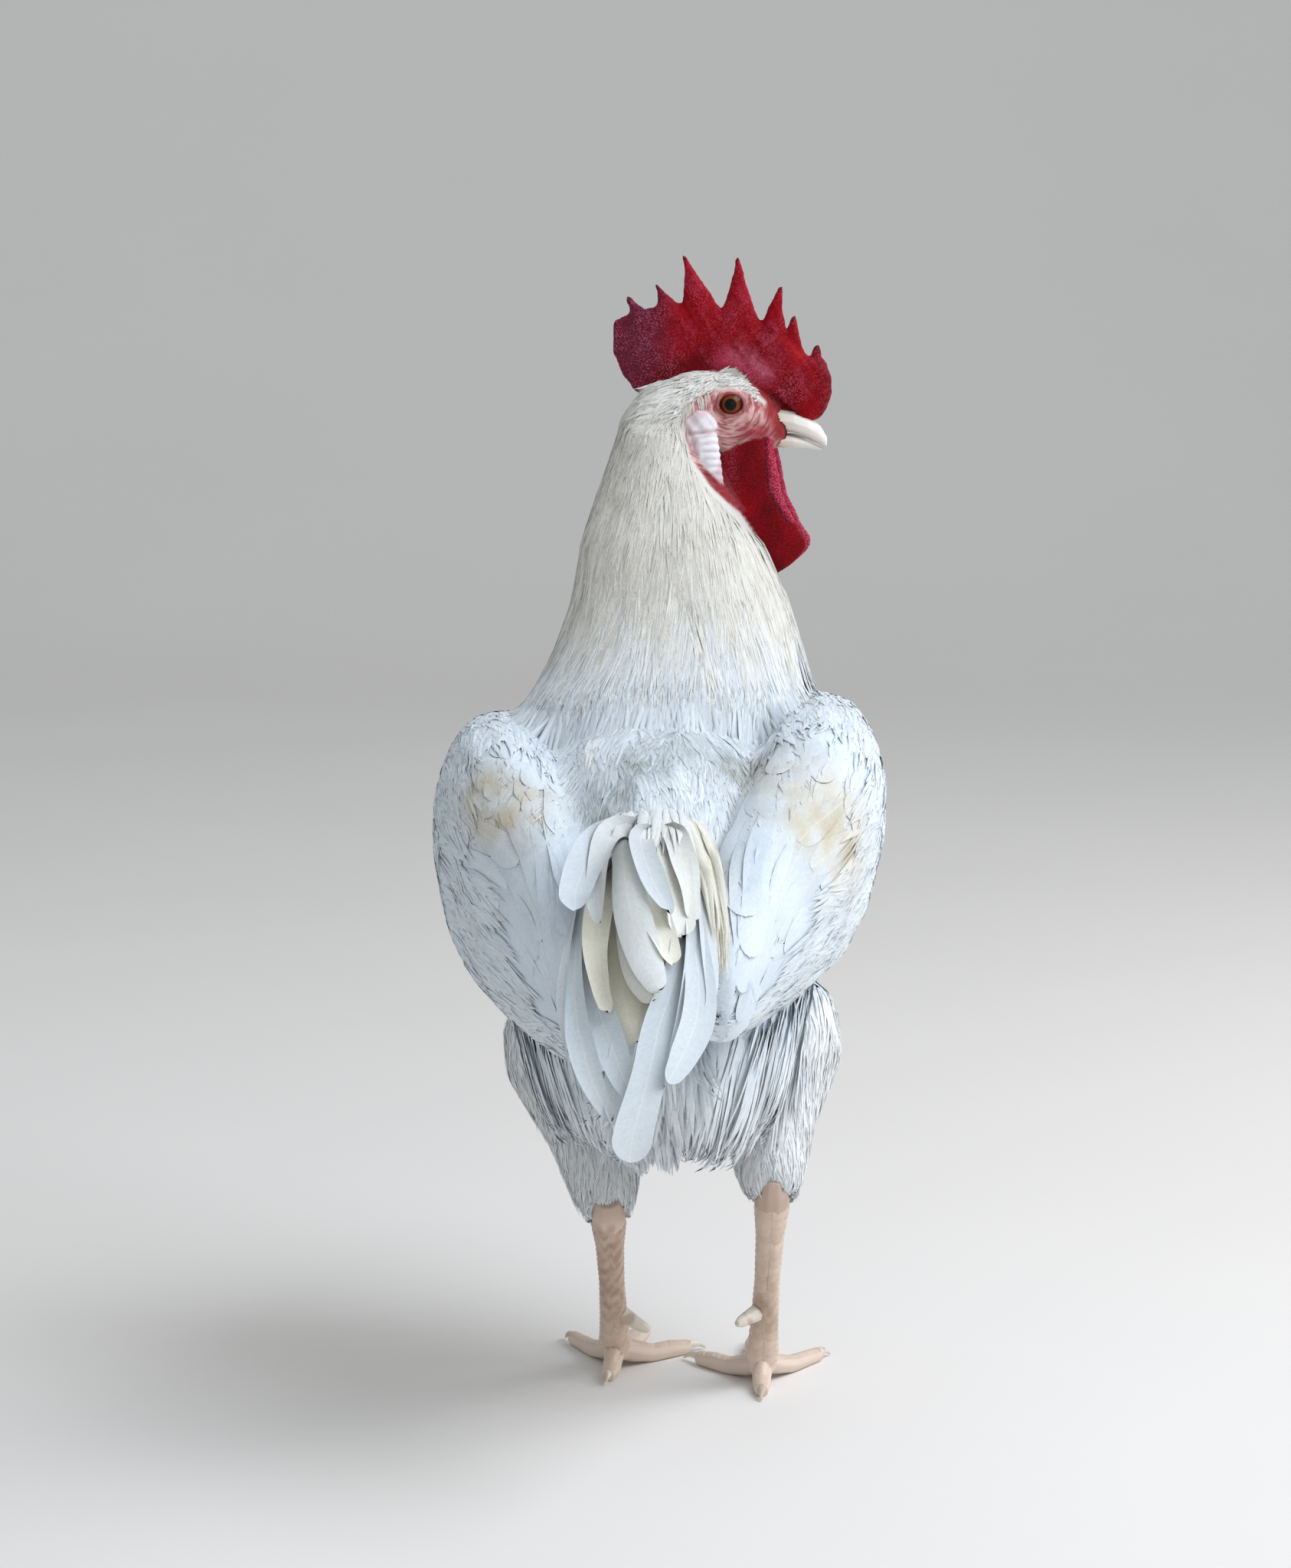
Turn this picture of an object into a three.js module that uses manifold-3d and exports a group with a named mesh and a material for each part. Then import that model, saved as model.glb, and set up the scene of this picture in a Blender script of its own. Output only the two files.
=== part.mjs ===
// A white Leghorn cock, standing at rest and looking over its right shoulder, as a life-size still model.
//
// Units are millimetres and +Z is up. The bird faces +Y and its right side is +X. Everything is laid out
// about the plane that halves the trunk (x = 0), with the floor at z = 0, and the whole group is moved at
// the end so that the origin is on the floor under the middle of the bird.
//
// Each piece of the body is a loft: a row of ovals with a skin drawn over them. Pieces that meet are either
// joined and parted again by a plane, or one is cut by a slightly swollen copy of its neighbour, so that a
// gap of GAP is left between them.

import * as THREE from "three";
import { mergeVertices } from "three/addons/utils/BufferGeometryUtils.js";
import Module from "manifold-3d";

const wasm = await Module();
wasm.setup();

// ---------------------------------------------------------------------------------------------------------
// Driving dimensions

const GAP = 0.3; // left between pieces that meet
const PART_GAP = GAP / 2; // each side of a parting plane
const SLACK = 0.08; // how far a cut piece may stray when its slivers are merged
const GRAIN = 0.06; // the shortest edge that a cut piece keeps
const FINE_GRAIN = 0.05; // and the same for the tail, whose thin feathers cross at narrow angles

const TRUNK_SECTIONS = [
  // y, back, belly, half width
  [121, 272, 250, 10],
  [112, 300, 222, 38],
  [88, 322, 194, 60],
  [50, 334, 172, 74],
  [5, 333, 160, 79],
  [-40, 324, 144, 76],
  [-80, 311, 134, 62],
  [-110, 299, 152, 43],
  [-130, 290, 204, 26],
  [-140, 283, 252, 9],
];
const TRUNK_SQUARENESS = 2.25;

const NECK_SECTIONS = [
  // height, x, y, half width, half depth, lean of the section in degrees
  [268, 1, 40, 66, 66, 34],
  [288, 2, 42, 80, 77, 30],
  [312, 4, 45, 80, 72, 25],
  [338, 8.5, 50, 67.5, 58, 18],
  [372, 11.5, 56, 55.5, 44, 10],
  [410, 7, 65, 44, 35, 4],
  [440, 3, 75, 29, 29, 0],
  [462, 0, 77, 19, 21, 0],
];
const CAPE_PLANE = { lean: 30, point: [3, 42, 290] }; // parts neck from trunk
const NAPE_PLANE = { point: [-46, 0, -22], pitch: 60 }; // parts head from neck, in the head's own frame

// The head has its own frame: the origin is midway between the eyes, +X runs to the beak, +Y to its left.
const HEAD = { place: [38, 77, 474], turn: -8, nod: 0 };
const HEAD_SECTIONS = [
  // x, crown, throat, half width
  [-57, -8, -24, 9],
  [-50, 1, -33, 16],
  [-38, 9, -37, 18.5],
  [-22, 14.5, -33, 17.5],
  [-6, 15.5, -26, 15.6],
  [6, 12, -24.5, 14],
  [15, 5, -23.5, 11],
  [22, -2, -22, 8.5],
  [26, -6, -19, 6.5],
];

const EYE = { radius: 7, side: 9.6 };

const UPPER_BEAK = [
  // x, top, mouth line, half width
  [14, -3, -12, 8],
  [22, -2.5, -13.4, 7.8],
  [30, -4, -14.2, 6.8],
  [37, -7, -16.2, 5.2],
  [42.5, -11, -19, 3],
  [45.8, -16.5, -21, 1.1],
];
const LOWER_BEAK = [
  // x, mouth line, chin, half width
  [14, -13.8, -21, 7],
  [24, -14.6, -22, 6.2],
  [33, -15.8, -21.4, 4.8],
  [40, -18.6, -22.2, 2.7],
  [43.6, -20.8, -22.8, 1],
];

const COMB_RIDGE = [
  // x, foot of the comb, valley line, half thickness
  [48, 5, 14, 2.5],
  [43, -6, 22, 5],
  [34, -8.5, 24, 6.5],
  [25, -4, 33, 6],
  [11, 4, 37, 5],
  [-7, 10, 44, 4],
  [-27, 9, 49, 3.4],
  [-44, 3.5, 46, 2.8],
  [-54, 11, 43, 2.4],
  [-60, 24, 40, 1.6],
];
const COMB_SPIKES = [
  // x of the root, root height, half length of the root, tip x, tip height
  [-45, 38, 9, -53.5, 52],
  [-31, 41, 9, -39.6, 58.6],
  [-16, 40, 12, -25.7, 72.8],
  [2, 34, 12.5, 1.6, 72.5],
  [17, 27, 10.5, 23, 58],
  [28, 20, 8, 29.5, 43],
  [38.5, 10, 8, 41.5, 28.6],
];
const SPIKE_ROOT_HALF_THICKNESS = 3.4;

const WATTLE_SECTIONS = [
  // height, rear edge, front edge, half thickness, distance from the middle of the head
  [-15, 2, 20, 2.6, 7.5],
  [-28, -4, 22, 3, 9.5],
  [-46, -1, 26, 2.6, 10.5],
  [-60, 5, 33, 2.6, 10.5],
  [-69, 8.5, 37.5, 2.6, 10],
  [-78, 13, 31, 2.4, 9.5],
  [-85, 16, 21, 1.6, 9],
];
const EARLOBE_SECTIONS = [
  // height, middle, half length, half thickness, distance from the middle of the head
  [-3.5, -14, 3, 1.6, 16],
  [-9, -15.4, 8, 3.2, 16.6],
  [-19, -14, 8.8, 4.2, 17.4],
  [-30, -11.6, 7.8, 4.4, 17.6],
  [-40, -8, 5.2, 3.8, 16.8],
  [-47.5, -5, 1.6, 1.6, 15.5],
];

const WING_SECTIONS = [
  // y, upper edge, lower edge, outer face, inner face
  [95, 296, 270, 66, 52],
  [86, 316, 250, 85, 42],
  [58, 332, 231, 101, 38],
  [18, 335, 216, 107, 38],
  [-28, 331, 207, 107, 34],
  [-72, 318, 204, 97, 28],
  [-112, 298, 199, 76, 22],
  [-146, 272, 197, 54, 19],
  [-167, 248, 204, 40, 21],
  [-175, 232, 215, 34, 27],
];
const WING_SQUARENESS = 2.2;
// The top of a wing lies further out than its lower edge, by this share of the height above the level.
const WING_LEAN = { left: 0.08, right: 0.12, level: 268 };
const WING_DROP = { left: 9, right: 0 }; // how much lower a wing is carried
const WING_SAG = { left: 5, right: 0 }; // and how much deeper its tip hangs

const THIGH_SECTIONS = [
  // share of the way from knee to hock, half width, half depth
  [0, 22, 30],
  [0.15, 36, 46],
  [0.35, 37, 44],
  [0.52, 29, 33],
  [0.68, 21.5, 24],
  [0.82, 17.8, 18.5],
  [0.93, 14.5, 15],
  [1.02, 10, 10.5],
];
const LEGS = {
  left: {
    side: -1,
    knee: [-42, 30, 190],
    hock: [-24, -40, 92],
    foot: [-21, 13, 12],
    toeTurn: 16,
    spur: { height: 27, inward: 68, droop: 26 },
  },
  right: {
    side: 1,
    knee: [50, 24, 192],
    hock: [55, -44, 102],
    foot: [51, -14, 12],
    toeTurn: -6,
    spur: { height: 30, inward: 44, droop: 12 },
  },
};
const SHANK_SECTIONS = [
  // share of the way from hock to foot, half width, half depth
  [-0.1, 6.5, 7],
  [0, 9, 9.6],
  [0.14, 7.6, 8.6],
  [0.35, 6, 7.3],
  [0.72, 6.1, 7.2],
  [0.95, 7.8, 8],
  [1.06, 6.4, 6.6],
];
const ANKLE_HEIGHT = 19; // where a shank is parted from its foot

const TOES = [
  // name, heading from straight ahead (outward), length, root radius, end radius, claw length, pads
  { name: "inner", heading: -34, reach: 47, root: 5.6, end: 3.7, claw: 12, pads: 2 },
  { name: "middle", heading: 3, reach: 64, root: 6.2, end: 3.8, claw: 13.8, pads: 3 },
  { name: "outer", heading: 40, reach: 52, root: 5.4, end: 3.6, claw: 11, pads: 4 },
  { name: "hind", heading: 188, reach: 24, root: 4.8, end: 3.4, claw: 10, pads: 1 },
];
const PAD_DEPTH = 0.86; // a toe's middle lies this share of its radius above the floor, which cuts it flat
const SPUR = { length: 21, rootRadius: 5.2, tipRadius: 2.4 };

// Each tail feather leaves the end of the trunk, passes its middle point half way along and ends at its
// tip. Roll turns its upper face towards the bird's right, at the root and at the tip.
const TAIL_ROOT = { y: -119, z: 284 };
const TAIL_STUMP = [
  // y, upper edge, lower edge, half width
  [-104, 294, 236, 26],
  [-126, 294, 240, 24],
  [-146, 290, 252, 14],
  [-160, 284, 266, 5],
];
const TAIL_FEATHERS = [
  // the root lies at this x
  { root: 5, middle: [8, -218, 256], tip: [-13, -270, 167], width: 32, roll: [58, 14] },
  { root: 8, middle: [15, -210, 254], tip: [4, -258, 196], width: 30, roll: [62, 50] },
  { root: 10, middle: [19, -200, 256], tip: [13, -246, 208], width: 26, roll: [68, 64] },
  { root: -12, middle: [-37, -208, 250], tip: [-20, -255, 180], width: 25, roll: [-64, -42] },
  { root: -8, middle: [-28, -208, 250], tip: [-13, -252, 188], width: 28, roll: [-62, -46] },
  { root: -14, middle: [-42, -214, 252], tip: [-36, -262, 200], width: 14, roll: [-84, -84] },
  { root: -12, middle: [-28, -162, 285], tip: [-44, -190, 266], width: 28, roll: [-34, -20] },
  { root: 0, middle: [-5, -166, 284], tip: [-4, -200, 262], width: 36, roll: [0, 10] },
  { root: 13, middle: [25, -162, 276], tip: [25, -190, 231], width: 20, roll: [40, 30] },
];
const FEATHER_THICKNESS = 1.5;

const COLOURS = {
  plume: 0xeef0ee,
  comb: 0xb3142c,
  face: 0xd58a8d,
  lobe: 0xe9e4ea,
  horn: 0xe9dccb,
  scale: 0xd9c0a6,
  eye: 0xa4581f,
};

// ---------------------------------------------------------------------------------------------------------
// Lofts

const radians = THREE.MathUtils.degToRad;
const vector = (values) => new THREE.Vector3(...values);

// Rows of numbers drawn out to a smoother, longer run of rows.
function smoothRows(rows, count) {
  const places = rows.map((_, i) => i);
  const cubic = new THREE.CubicInterpolant(places, rows.flat(), rows[0].length);
  const last = rows.length - 1;
  return Array.from({ length: count }, (_, i) => Array.from(cubic.evaluate((i / (count - 1)) * last)));
}

// The points of an oval. Squareness 2 is an ellipse, and more is boxier.
function oval(centre, across, upward, halfWidth, halfHeight, sides, squareness = 2) {
  const power = 2 / squareness;
  return Array.from({ length: sides }, (_, i) => {
    const angle = (2 * Math.PI * i) / sides;
    const c = Math.cos(angle);
    const s = Math.sin(angle);
    return centre
      .clone()
      .addScaledVector(across, halfWidth * Math.sign(c) * Math.abs(c) ** power)
      .addScaledVector(upward, halfHeight * Math.sign(s) * Math.abs(s) ** power);
  });
}

// A closed skin over rings that all have the same number of points. Each end closes on its own middle.
function skinOver(rings) {
  const sides = rings[0].length;
  const points = rings.flat();
  const ends = [rings[0], rings.at(-1)].map((ring) => {
    const middle = new THREE.Vector3();
    ring.forEach((p) => middle.addScaledVector(p, 1 / sides));
    return points.push(middle) - 1;
  });
  const faces = [];
  for (let r = 0; r < rings.length - 1; r++) {
    for (let i = 0; i < sides; i++) {
      const a = r * sides + i;
      const b = r * sides + ((i + 1) % sides);
      faces.push(a, b, b + sides, a, b + sides, a + sides);
    }
  }
  const lastRing = (rings.length - 1) * sides;
  for (let i = 0; i < sides; i++) {
    const next = (i + 1) % sides;
    faces.push(ends[0], next, i, ends[1], lastRing + i, lastRing + next);
  }
  const geometry = new THREE.BufferGeometry().setFromPoints(points);
  geometry.setIndex(faces);
  return geometry;
}

// Ovals that stand across one axis of the piece's frame. Each row gives the place along that axis, the two
// ends of the oval's height, its half width, and, where given, how far its middle lies to the side.
function loftAlong(axis, rows, { sides, rings, squareness = 2, swell = 0 }) {
  const across = axis === "z" ? vector([1, 0, 0]) : vector([axis === "y" ? 1 : 0, axis === "y" ? 0 : 1, 0]);
  const upward = vector(axis === "z" ? [0, 1, 0] : [0, 0, 1]);
  const along = vector([axis === "x" ? 1 : 0, axis === "y" ? 1 : 0, axis === "z" ? 1 : 0]);
  const smooth = smoothRows(rows, rings);
  return skinOver(
    smooth.map(([place, top, bottom, half, side = 0], i) => {
      const end = i === 0 ? -1 : i === smooth.length - 1 ? 1 : 0;
      const travel = Math.sign(smooth.at(-1)[0] - smooth[0][0]);
      const centre = along.clone().multiplyScalar(place + end * travel * swell);
      centre.addScaledVector(across, side).addScaledVector(upward, (top + bottom) / 2);
      const tall = Math.max(Math.abs(top - bottom) / 2, 0.4);
      return oval(centre, across, upward, Math.max(half, 0.4) + swell, tall + swell, sides, squareness);
    }),
  );
}

// Ovals strung along a path, each standing across it. The width of an oval lies along the given side.
function loftOnPath(points, side, sizes, { sides, squareness = 2, swell = 0 }) {
  const rings = points.map((point, i) => {
    const ahead = points[Math.min(i + 1, points.length - 1)];
    const behind = points[Math.max(i - 1, 0)];
    const tangent = ahead.clone().sub(behind).normalize();
    const across = side.clone().addScaledVector(tangent, -side.dot(tangent)).normalize();
    const upward = tangent.clone().cross(across);
    const end = i === 0 ? -1 : i === points.length - 1 ? 1 : 0;
    const centre = point.clone().addScaledVector(tangent, end * swell);
    return oval(centre, across, upward, sizes[i][0] + swell, sizes[i][1] + swell, sides, squareness);
  });
  return skinOver(rings);
}

// ---------------------------------------------------------------------------------------------------------
// Solids that can be joined and cut

function signedVolume(points, index) {
  const [a, b, c] = [new THREE.Vector3(), new THREE.Vector3(), new THREE.Vector3()];
  let total = 0;
  for (let i = 0; i < index.length; i += 3) {
    a.fromArray(points, index[i] * 3);
    b.fromArray(points, index[i + 1] * 3);
    c.fromArray(points, index[i + 2] * 3);
    total += a.dot(b.cross(c));
  }
  return total / 6;
}

function solidOf(geometry) {
  const bare = new THREE.BufferGeometry().setAttribute("position", geometry.getAttribute("position"));
  bare.setIndex(geometry.index);
  const merged = mergeVertices(bare, 1e-4);
  const points = merged.attributes.position.array;
  const index = new Uint32Array(merged.index.array);
  if (signedVolume(points, index) < 0) {
    for (let i = 0; i < index.length; i += 3) [index[i], index[i + 1]] = [index[i + 1], index[i]];
  }
  return new wasm.Manifold(new wasm.Mesh({ numProp: 3, vertProperties: points, triVerts: index }));
}

function geometryOf(solid) {
  const { vertProperties, triVerts } = solid.getMesh();
  const geometry = new THREE.BufferGeometry();
  geometry.setAttribute("position", new THREE.BufferAttribute(new Float32Array(vertProperties), 3));
  geometry.setIndex(new THREE.BufferAttribute(new Uint32Array(triVerts), 1));
  const faceted = geometry.toNonIndexed();
  faceted.computeVertexNormals();
  return faceted;
}

const joined = (solids) => solids.reduce((whole, solid) => whole.add(solid));
const cutBy = (solid, ...tools) => tools.reduce((left, tool) => left.subtract(tool), solid);

// The largest single body of a solid, without the crumbs and the very short edges that a cut can leave: its
// points are set on a fine grid, so that those closer than the grain become one.
function mainBody(solid, grain = GRAIN) {
  const largest = solid.decompose().reduce((most, body) => (body.volume() > most.volume() ? body : most));
  const snap = (point) => point.forEach((value, i) => (point[i] = Math.round(value / grain) * grain));
  return largest.simplify(SLACK).warp(snap).simplify(grain);
}

// Parts a solid by a plane and leaves GAP between the two sides. The first side is the one the normal enters.
function partedBy(solid, normal, point) {
  const offset = normal.dot(point);
  const ahead = solid.trimByPlane(normal.toArray(), offset + PART_GAP);
  const behind = solid.trimByPlane(normal.clone().negate().toArray(), PART_GAP - offset);
  return [mainBody(ahead), mainBody(behind)];
}

// ---------------------------------------------------------------------------------------------------------
// Trunk, neck and head

const headFrame = new THREE.Matrix4().compose(
  vector(HEAD.place),
  new THREE.Quaternion().setFromEuler(new THREE.Euler(0, radians(HEAD.nod), radians(HEAD.turn), "ZYX")),
  vector([1, 1, 1]),
);
const onHead = (geometry) => geometry.applyMatrix4(headFrame);
const headPoint = (values) => vector(values).applyMatrix4(headFrame);

function trunkSolid(swell = 0) {
  const shape = { sides: 22, rings: 12, squareness: TRUNK_SQUARENESS, swell };
  return solidOf(loftAlong("y", TRUNK_SECTIONS, shape));
}

function neckSolid(swell = 0) {
  const rows = smoothRows(NECK_SECTIONS, 11);
  const rings = rows.map(([z, x, y, halfWidth, halfDepth, lean], i) => {
    const end = i === 0 ? -1 : i === rows.length - 1 ? 1 : 0;
    const deep = vector([0, Math.cos(radians(lean)), -Math.sin(radians(lean))]);
    const centre = vector([x, y, z + end * swell]);
    return oval(centre, vector([1, 0, 0]), deep, halfWidth + swell, halfDepth + swell, 22);
  });
  return solidOf(skinOver(rings));
}

function headSolid(swell = 0) {
  return solidOf(onHead(loftAlong("x", HEAD_SECTIONS, { sides: 14, rings: 9, squareness: 2.15, swell })));
}

function eyeGeometry(side, swell = 0) {
  const ball = new THREE.SphereGeometry(EYE.radius + swell, 12, 8);
  ball.rotateX(Math.PI / 2).translate(0, side * EYE.side, 0);
  return onHead(ball);
}

const fleshWhole = joined([trunkSolid(), neckSolid(), headSolid()]);
const fleshSwollen = joined([trunkSolid(GAP), neckSolid(GAP), headSolid(GAP)]);

const napePoint = headPoint(NAPE_PLANE.point);
const napeNormal = vector([Math.cos(radians(NAPE_PLANE.pitch)), 0, Math.sin(radians(NAPE_PLANE.pitch))]);
napeNormal.transformDirection(headFrame);
const [headBlank, rest] = partedBy(fleshWhole, napeNormal, napePoint);
const capeNormal = vector([0, Math.sin(radians(CAPE_PLANE.lean)), Math.cos(radians(CAPE_PLANE.lean))]);
const [neck, trunk] = partedBy(rest, capeNormal, vector(CAPE_PLANE.point));
const eyeSockets = [-1, 1].map((side) => solidOf(eyeGeometry(side, GAP)));
const head = mainBody(cutBy(headBlank, ...eyeSockets));

// ---------------------------------------------------------------------------------------------------------
// Beak, comb, wattles and earlobes

function beakHalf(rows, swell = 0) {
  return solidOf(onHead(loftAlong("x", rows, { sides: 10, rings: 6, squareness: 2.2, swell })));
}

function spikeSolid([rootX, rootZ, halfLength, tipX, tipZ], swell) {
  const path = new THREE.QuadraticBezierCurve3(
    vector([rootX, 0, rootZ]),
    vector([(rootX * 3 + tipX) / 4, 0, (rootZ + tipZ) / 2]),
    vector([tipX, 0, tipZ]),
  );
  const steps = 3;
  const points = path.getPoints(steps);
  const sizes = points.map((_, i) => {
    const left = 1 - i / steps;
    const taper = left ** 1.45;
    return [halfLength * taper + 0.9, SPIKE_ROOT_HALF_THICKNESS * (0.3 + 0.7 * left)];
  });
  return solidOf(onHead(loftOnPath(points, vector([1, 0, 0]), sizes, { sides: 6, swell })));
}

function combSolid(swell = 0) {
  const ridge = onHead(loftAlong("x", COMB_RIDGE, { sides: 8, rings: 13, squareness: 2.4, swell }));
  return joined([solidOf(ridge), ...COMB_SPIKES.map((spike) => spikeSolid(spike, swell))]);
}

function lappet(rows, side, rings, swell = 0) {
  const turned = rows.map(([z, rear, front, half, out]) => [z, rear, front, half, side * out]);
  const smooth = smoothRows(turned, rings).map(([z, rear, front, half, out]) => {
    const centre = vector([(rear + front) / 2, out, z]);
    return oval(centre, vector([1, 0, 0]), vector([0, 1, 0]), (front - rear) / 2 + swell, half + swell, 8);
  });
  return solidOf(onHead(skinOver(smooth)));
}

const wattleSolid = (side, swell = 0) => lappet(WATTLE_SECTIONS, side, 8, swell);
const earlobeRows = EARLOBE_SECTIONS.map((row) => {
  const [z, middle, half, thick, out] = row;
  return [z, middle - half, middle + half, thick, out];
});
const earlobeSolid = (side, swell = 0) => lappet(earlobeRows, side, 7, swell);

const beakUpper = mainBody(cutBy(beakHalf(UPPER_BEAK), headSolid(GAP)));
const beakLower = mainBody(cutBy(beakHalf(LOWER_BEAK), headSolid(GAP), beakHalf(UPPER_BEAK, GAP)));
const beakSwollen = joined([beakHalf(UPPER_BEAK, GAP), beakHalf(LOWER_BEAK, GAP)]);
const comb = mainBody(cutBy(combSolid(), fleshSwollen, beakSwollen));

function pairOf(make, ...tools) {
  return [-1, 1].map((side) => mainBody(cutBy(make(side), ...tools)));
}
const [earlobeRight, earlobeLeft] = pairOf(earlobeSolid, fleshSwollen, combSolid(GAP));
const [wattleRight, wattleLeft] = [-1, 1].map((side) =>
  mainBody(cutBy(wattleSolid(side), fleshSwollen, beakSwollen, earlobeSolid(side, GAP))),
);

// ---------------------------------------------------------------------------------------------------------
// Wings

function wingSolid(name, swell = 0) {
  const side = name === "left" ? -1 : 1;
  const drop = WING_DROP[name];
  const rows = WING_SECTIONS.map(([y, upper, lower, outer, inner]) => {
    const sag = WING_SAG[name] * THREE.MathUtils.smoothstep(-y, 0, 110);
    return [y, upper - drop, lower - drop - sag, (outer - inner) / 2, (side * (outer + inner)) / 2];
  });
  const shape = { sides: 16, rings: 11, squareness: WING_SQUARENESS, swell };
  const lean = new THREE.Matrix4().makeShear(0, 0, 0, 0, side * WING_LEAN[name], 0);
  const geometry = loftAlong("y", rows, shape).translate(0, 0, -WING_LEAN.level).applyMatrix4(lean);
  return solidOf(geometry.translate(0, 0, WING_LEAN.level));
}

const wings = Object.fromEntries(
  ["left", "right"].map((name) => [name, mainBody(cutBy(wingSolid(name), fleshSwollen))]),
);

// ---------------------------------------------------------------------------------------------------------
// Legs

function limb(from, to, rows, swell = 0, sides = 12, rings = 10) {
  const smooth = smoothRows(rows, rings);
  const points = smooth.map(([share]) => vector(from).lerp(vector(to), share));
  const sizes = smooth.map(([, halfWidth, halfDepth]) => [halfWidth, halfDepth]);
  return solidOf(loftOnPath(points, vector([1, 0, 0]), sizes, { sides, swell }));
}

// A toe leaves the foot joint, comes down to the floor and runs out along it in a row of pads.
function toeParts(leg, toe) {
  const heading = radians(leg.side * toe.heading + leg.toeTurn);
  const ahead = vector([Math.sin(heading), Math.cos(heading), 0]);
  const steps = 4;
  const points = [];
  const sizes = [];
  for (let i = 0; i <= steps; i++) {
    const share = i / steps;
    const pad = 1 + 0.1 * Math.abs(Math.sin(Math.PI * toe.pads * share)) * (i ? 1 : 0);
    const radius = THREE.MathUtils.lerp(toe.root, toe.end, share) * pad;
    const lift = (leg.foot[2] - radius) * (1 - THREE.MathUtils.smoothstep(share, 0, 0.42));
    const point = vector(leg.foot).addScaledVector(ahead, toe.reach * share);
    points.push(point.setZ(radius * PAD_DEPTH + lift));
    sizes.push([radius, radius * 0.95]);
  }
  const side = vector([ahead.y, -ahead.x, 0]);
  const fleshSolid = (swell) => solidOf(loftOnPath(points, side, sizes, { sides: 8, swell }));
  const end = points.at(-1);
  const clawPath = new THREE.QuadraticBezierCurve3(
    end.clone().addScaledVector(ahead, -toe.end * 0.6).setZ(end.z + 0.9),
    end.clone().addScaledVector(ahead, toe.claw * 0.62).setZ(end.z + 2.2),
    end.clone().addScaledVector(ahead, toe.claw).setZ(0.9),
  ).getPoints(4);
  const clawSizes = clawPath.map((_, i) => [2.5 - 0.48 * i, 2.7 - 0.52 * i]);
  const claw = solidOf(loftOnPath(clawPath, side, clawSizes, { sides: 6 }));
  return { flesh: fleshSolid(0), swollen: fleshSolid(GAP), claw };
}

function spurSolid(leg) {
  const foot = vector(leg.foot);
  const shaft = vector(leg.hock).sub(foot).normalize();
  const root = foot.clone().addScaledVector(shaft, leg.spur.height);
  const inward = radians(leg.spur.inward);
  const down = radians(leg.spur.droop);
  const out = vector([-leg.side * Math.sin(inward), -Math.cos(inward), -Math.tan(down)]).normalize();
  const shares = [0, 0.4, 0.85, 1];
  const points = shares.map((share) => root.clone().addScaledVector(out, SPUR.length * share));
  const sizes = shares.map((share) => {
    const radius = THREE.MathUtils.lerp(SPUR.rootRadius, SPUR.tipRadius, share) * (share === 1 ? 0.6 : 1);
    return [radius, radius];
  });
  return solidOf(loftOnPath(points, vector([0, 0, 1]), sizes, { sides: 8 }));
}

function buildLeg(name) {
  const leg = LEGS[name];
  const toes = TOES.map((toe) => ({ ...toe, ...toeParts(leg, toe) }));
  const thigh = limb(leg.knee, leg.hock, THIGH_SECTIONS, 0, 12, 8);
  const shank = limb(leg.hock, leg.foot, SHANK_SECTIONS, 0, 10, 8);
  const swollenShank = limb(leg.hock, leg.foot, SHANK_SECTIONS, GAP, 10, 8);
  const lower = joined([shank, ...toes.map((toe) => toe.flesh)]).trimByPlane([0, 0, 1], 0);
  const [shankPart, foot] = partedBy(lower, vector([0, 0, 1]), vector([0, 0, ANKLE_HEIGHT]));
  const wing = wingSolid(name, GAP);
  const claws = toes.map((toe) => [
    `claw_${name}_${toe.name}`,
    mainBody(cutBy(toe.claw, toe.swollen).trimByPlane([0, 0, 1], 0)),
  ]);
  return {
    thigh: mainBody(cutBy(thigh, fleshSwollen, wing, swollenShank)),
    shank: shankPart,
    foot,
    spur: mainBody(cutBy(spurSolid(leg), swollenShank)),
    claws,
  };
}

const legs = { left: buildLeg("left"), right: buildLeg("right") };

// ---------------------------------------------------------------------------------------------------------
// Tail

// The outline of a feather: narrow at the quill, broad past the middle and round at the end.
const featherWidth = (share) => 0.12 + 0.88 * Math.sin(Math.PI * (0.04 + 0.92 * share) ** 1.3) ** 0.6;

function featherSolid({ root, middle, tip, width, roll }) {
  const start = vector([root, TAIL_ROOT.y, TAIL_ROOT.z]);
  const end = vector(tip);
  const pull = vector(middle).multiplyScalar(2).addScaledVector(start, -0.5).addScaledVector(end, -0.5);
  const shaft = new THREE.QuadraticBezierCurve3(start, pull, end);
  const steps = 6;
  const rings = [];
  for (let i = 0; i <= steps; i++) {
    const share = i / steps;
    const ahead = shaft.getTangentAt(share);
    const level = vector([-ahead.y, ahead.x, 0]).normalize();
    const turn = radians(THREE.MathUtils.lerp(roll[0], roll[1], share));
    const across = level.applyAxisAngle(ahead, -turn);
    const face = ahead.clone().cross(across).normalize();
    const half = (width / 2) * featherWidth(share);
    const thick = FEATHER_THICKNESS / 2;
    const outline = [
      [-half, -thick],
      [half, -thick],
      [half, thick],
      [-half, thick],
    ];
    const place = shaft.getPointAt(share);
    rings.push(outline.map(([a, b]) => place.clone().addScaledVector(across, a).addScaledVector(face, b)));
  }
  return solidOf(skinOver(rings));
}

function tailSolid() {
  const stump = solidOf(loftAlong("y", TAIL_STUMP, { sides: 10, rings: 5 }));
  const whole = joined([stump, ...TAIL_FEATHERS.map(featherSolid)]);
  const wings = [wingSolid("left", GAP), wingSolid("right", GAP)];
  return mainBody(cutBy(whole, fleshSwollen, ...wings), FINE_GRAIN);
}

// ---------------------------------------------------------------------------------------------------------
// The bird

const rooster = new THREE.Group();

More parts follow.
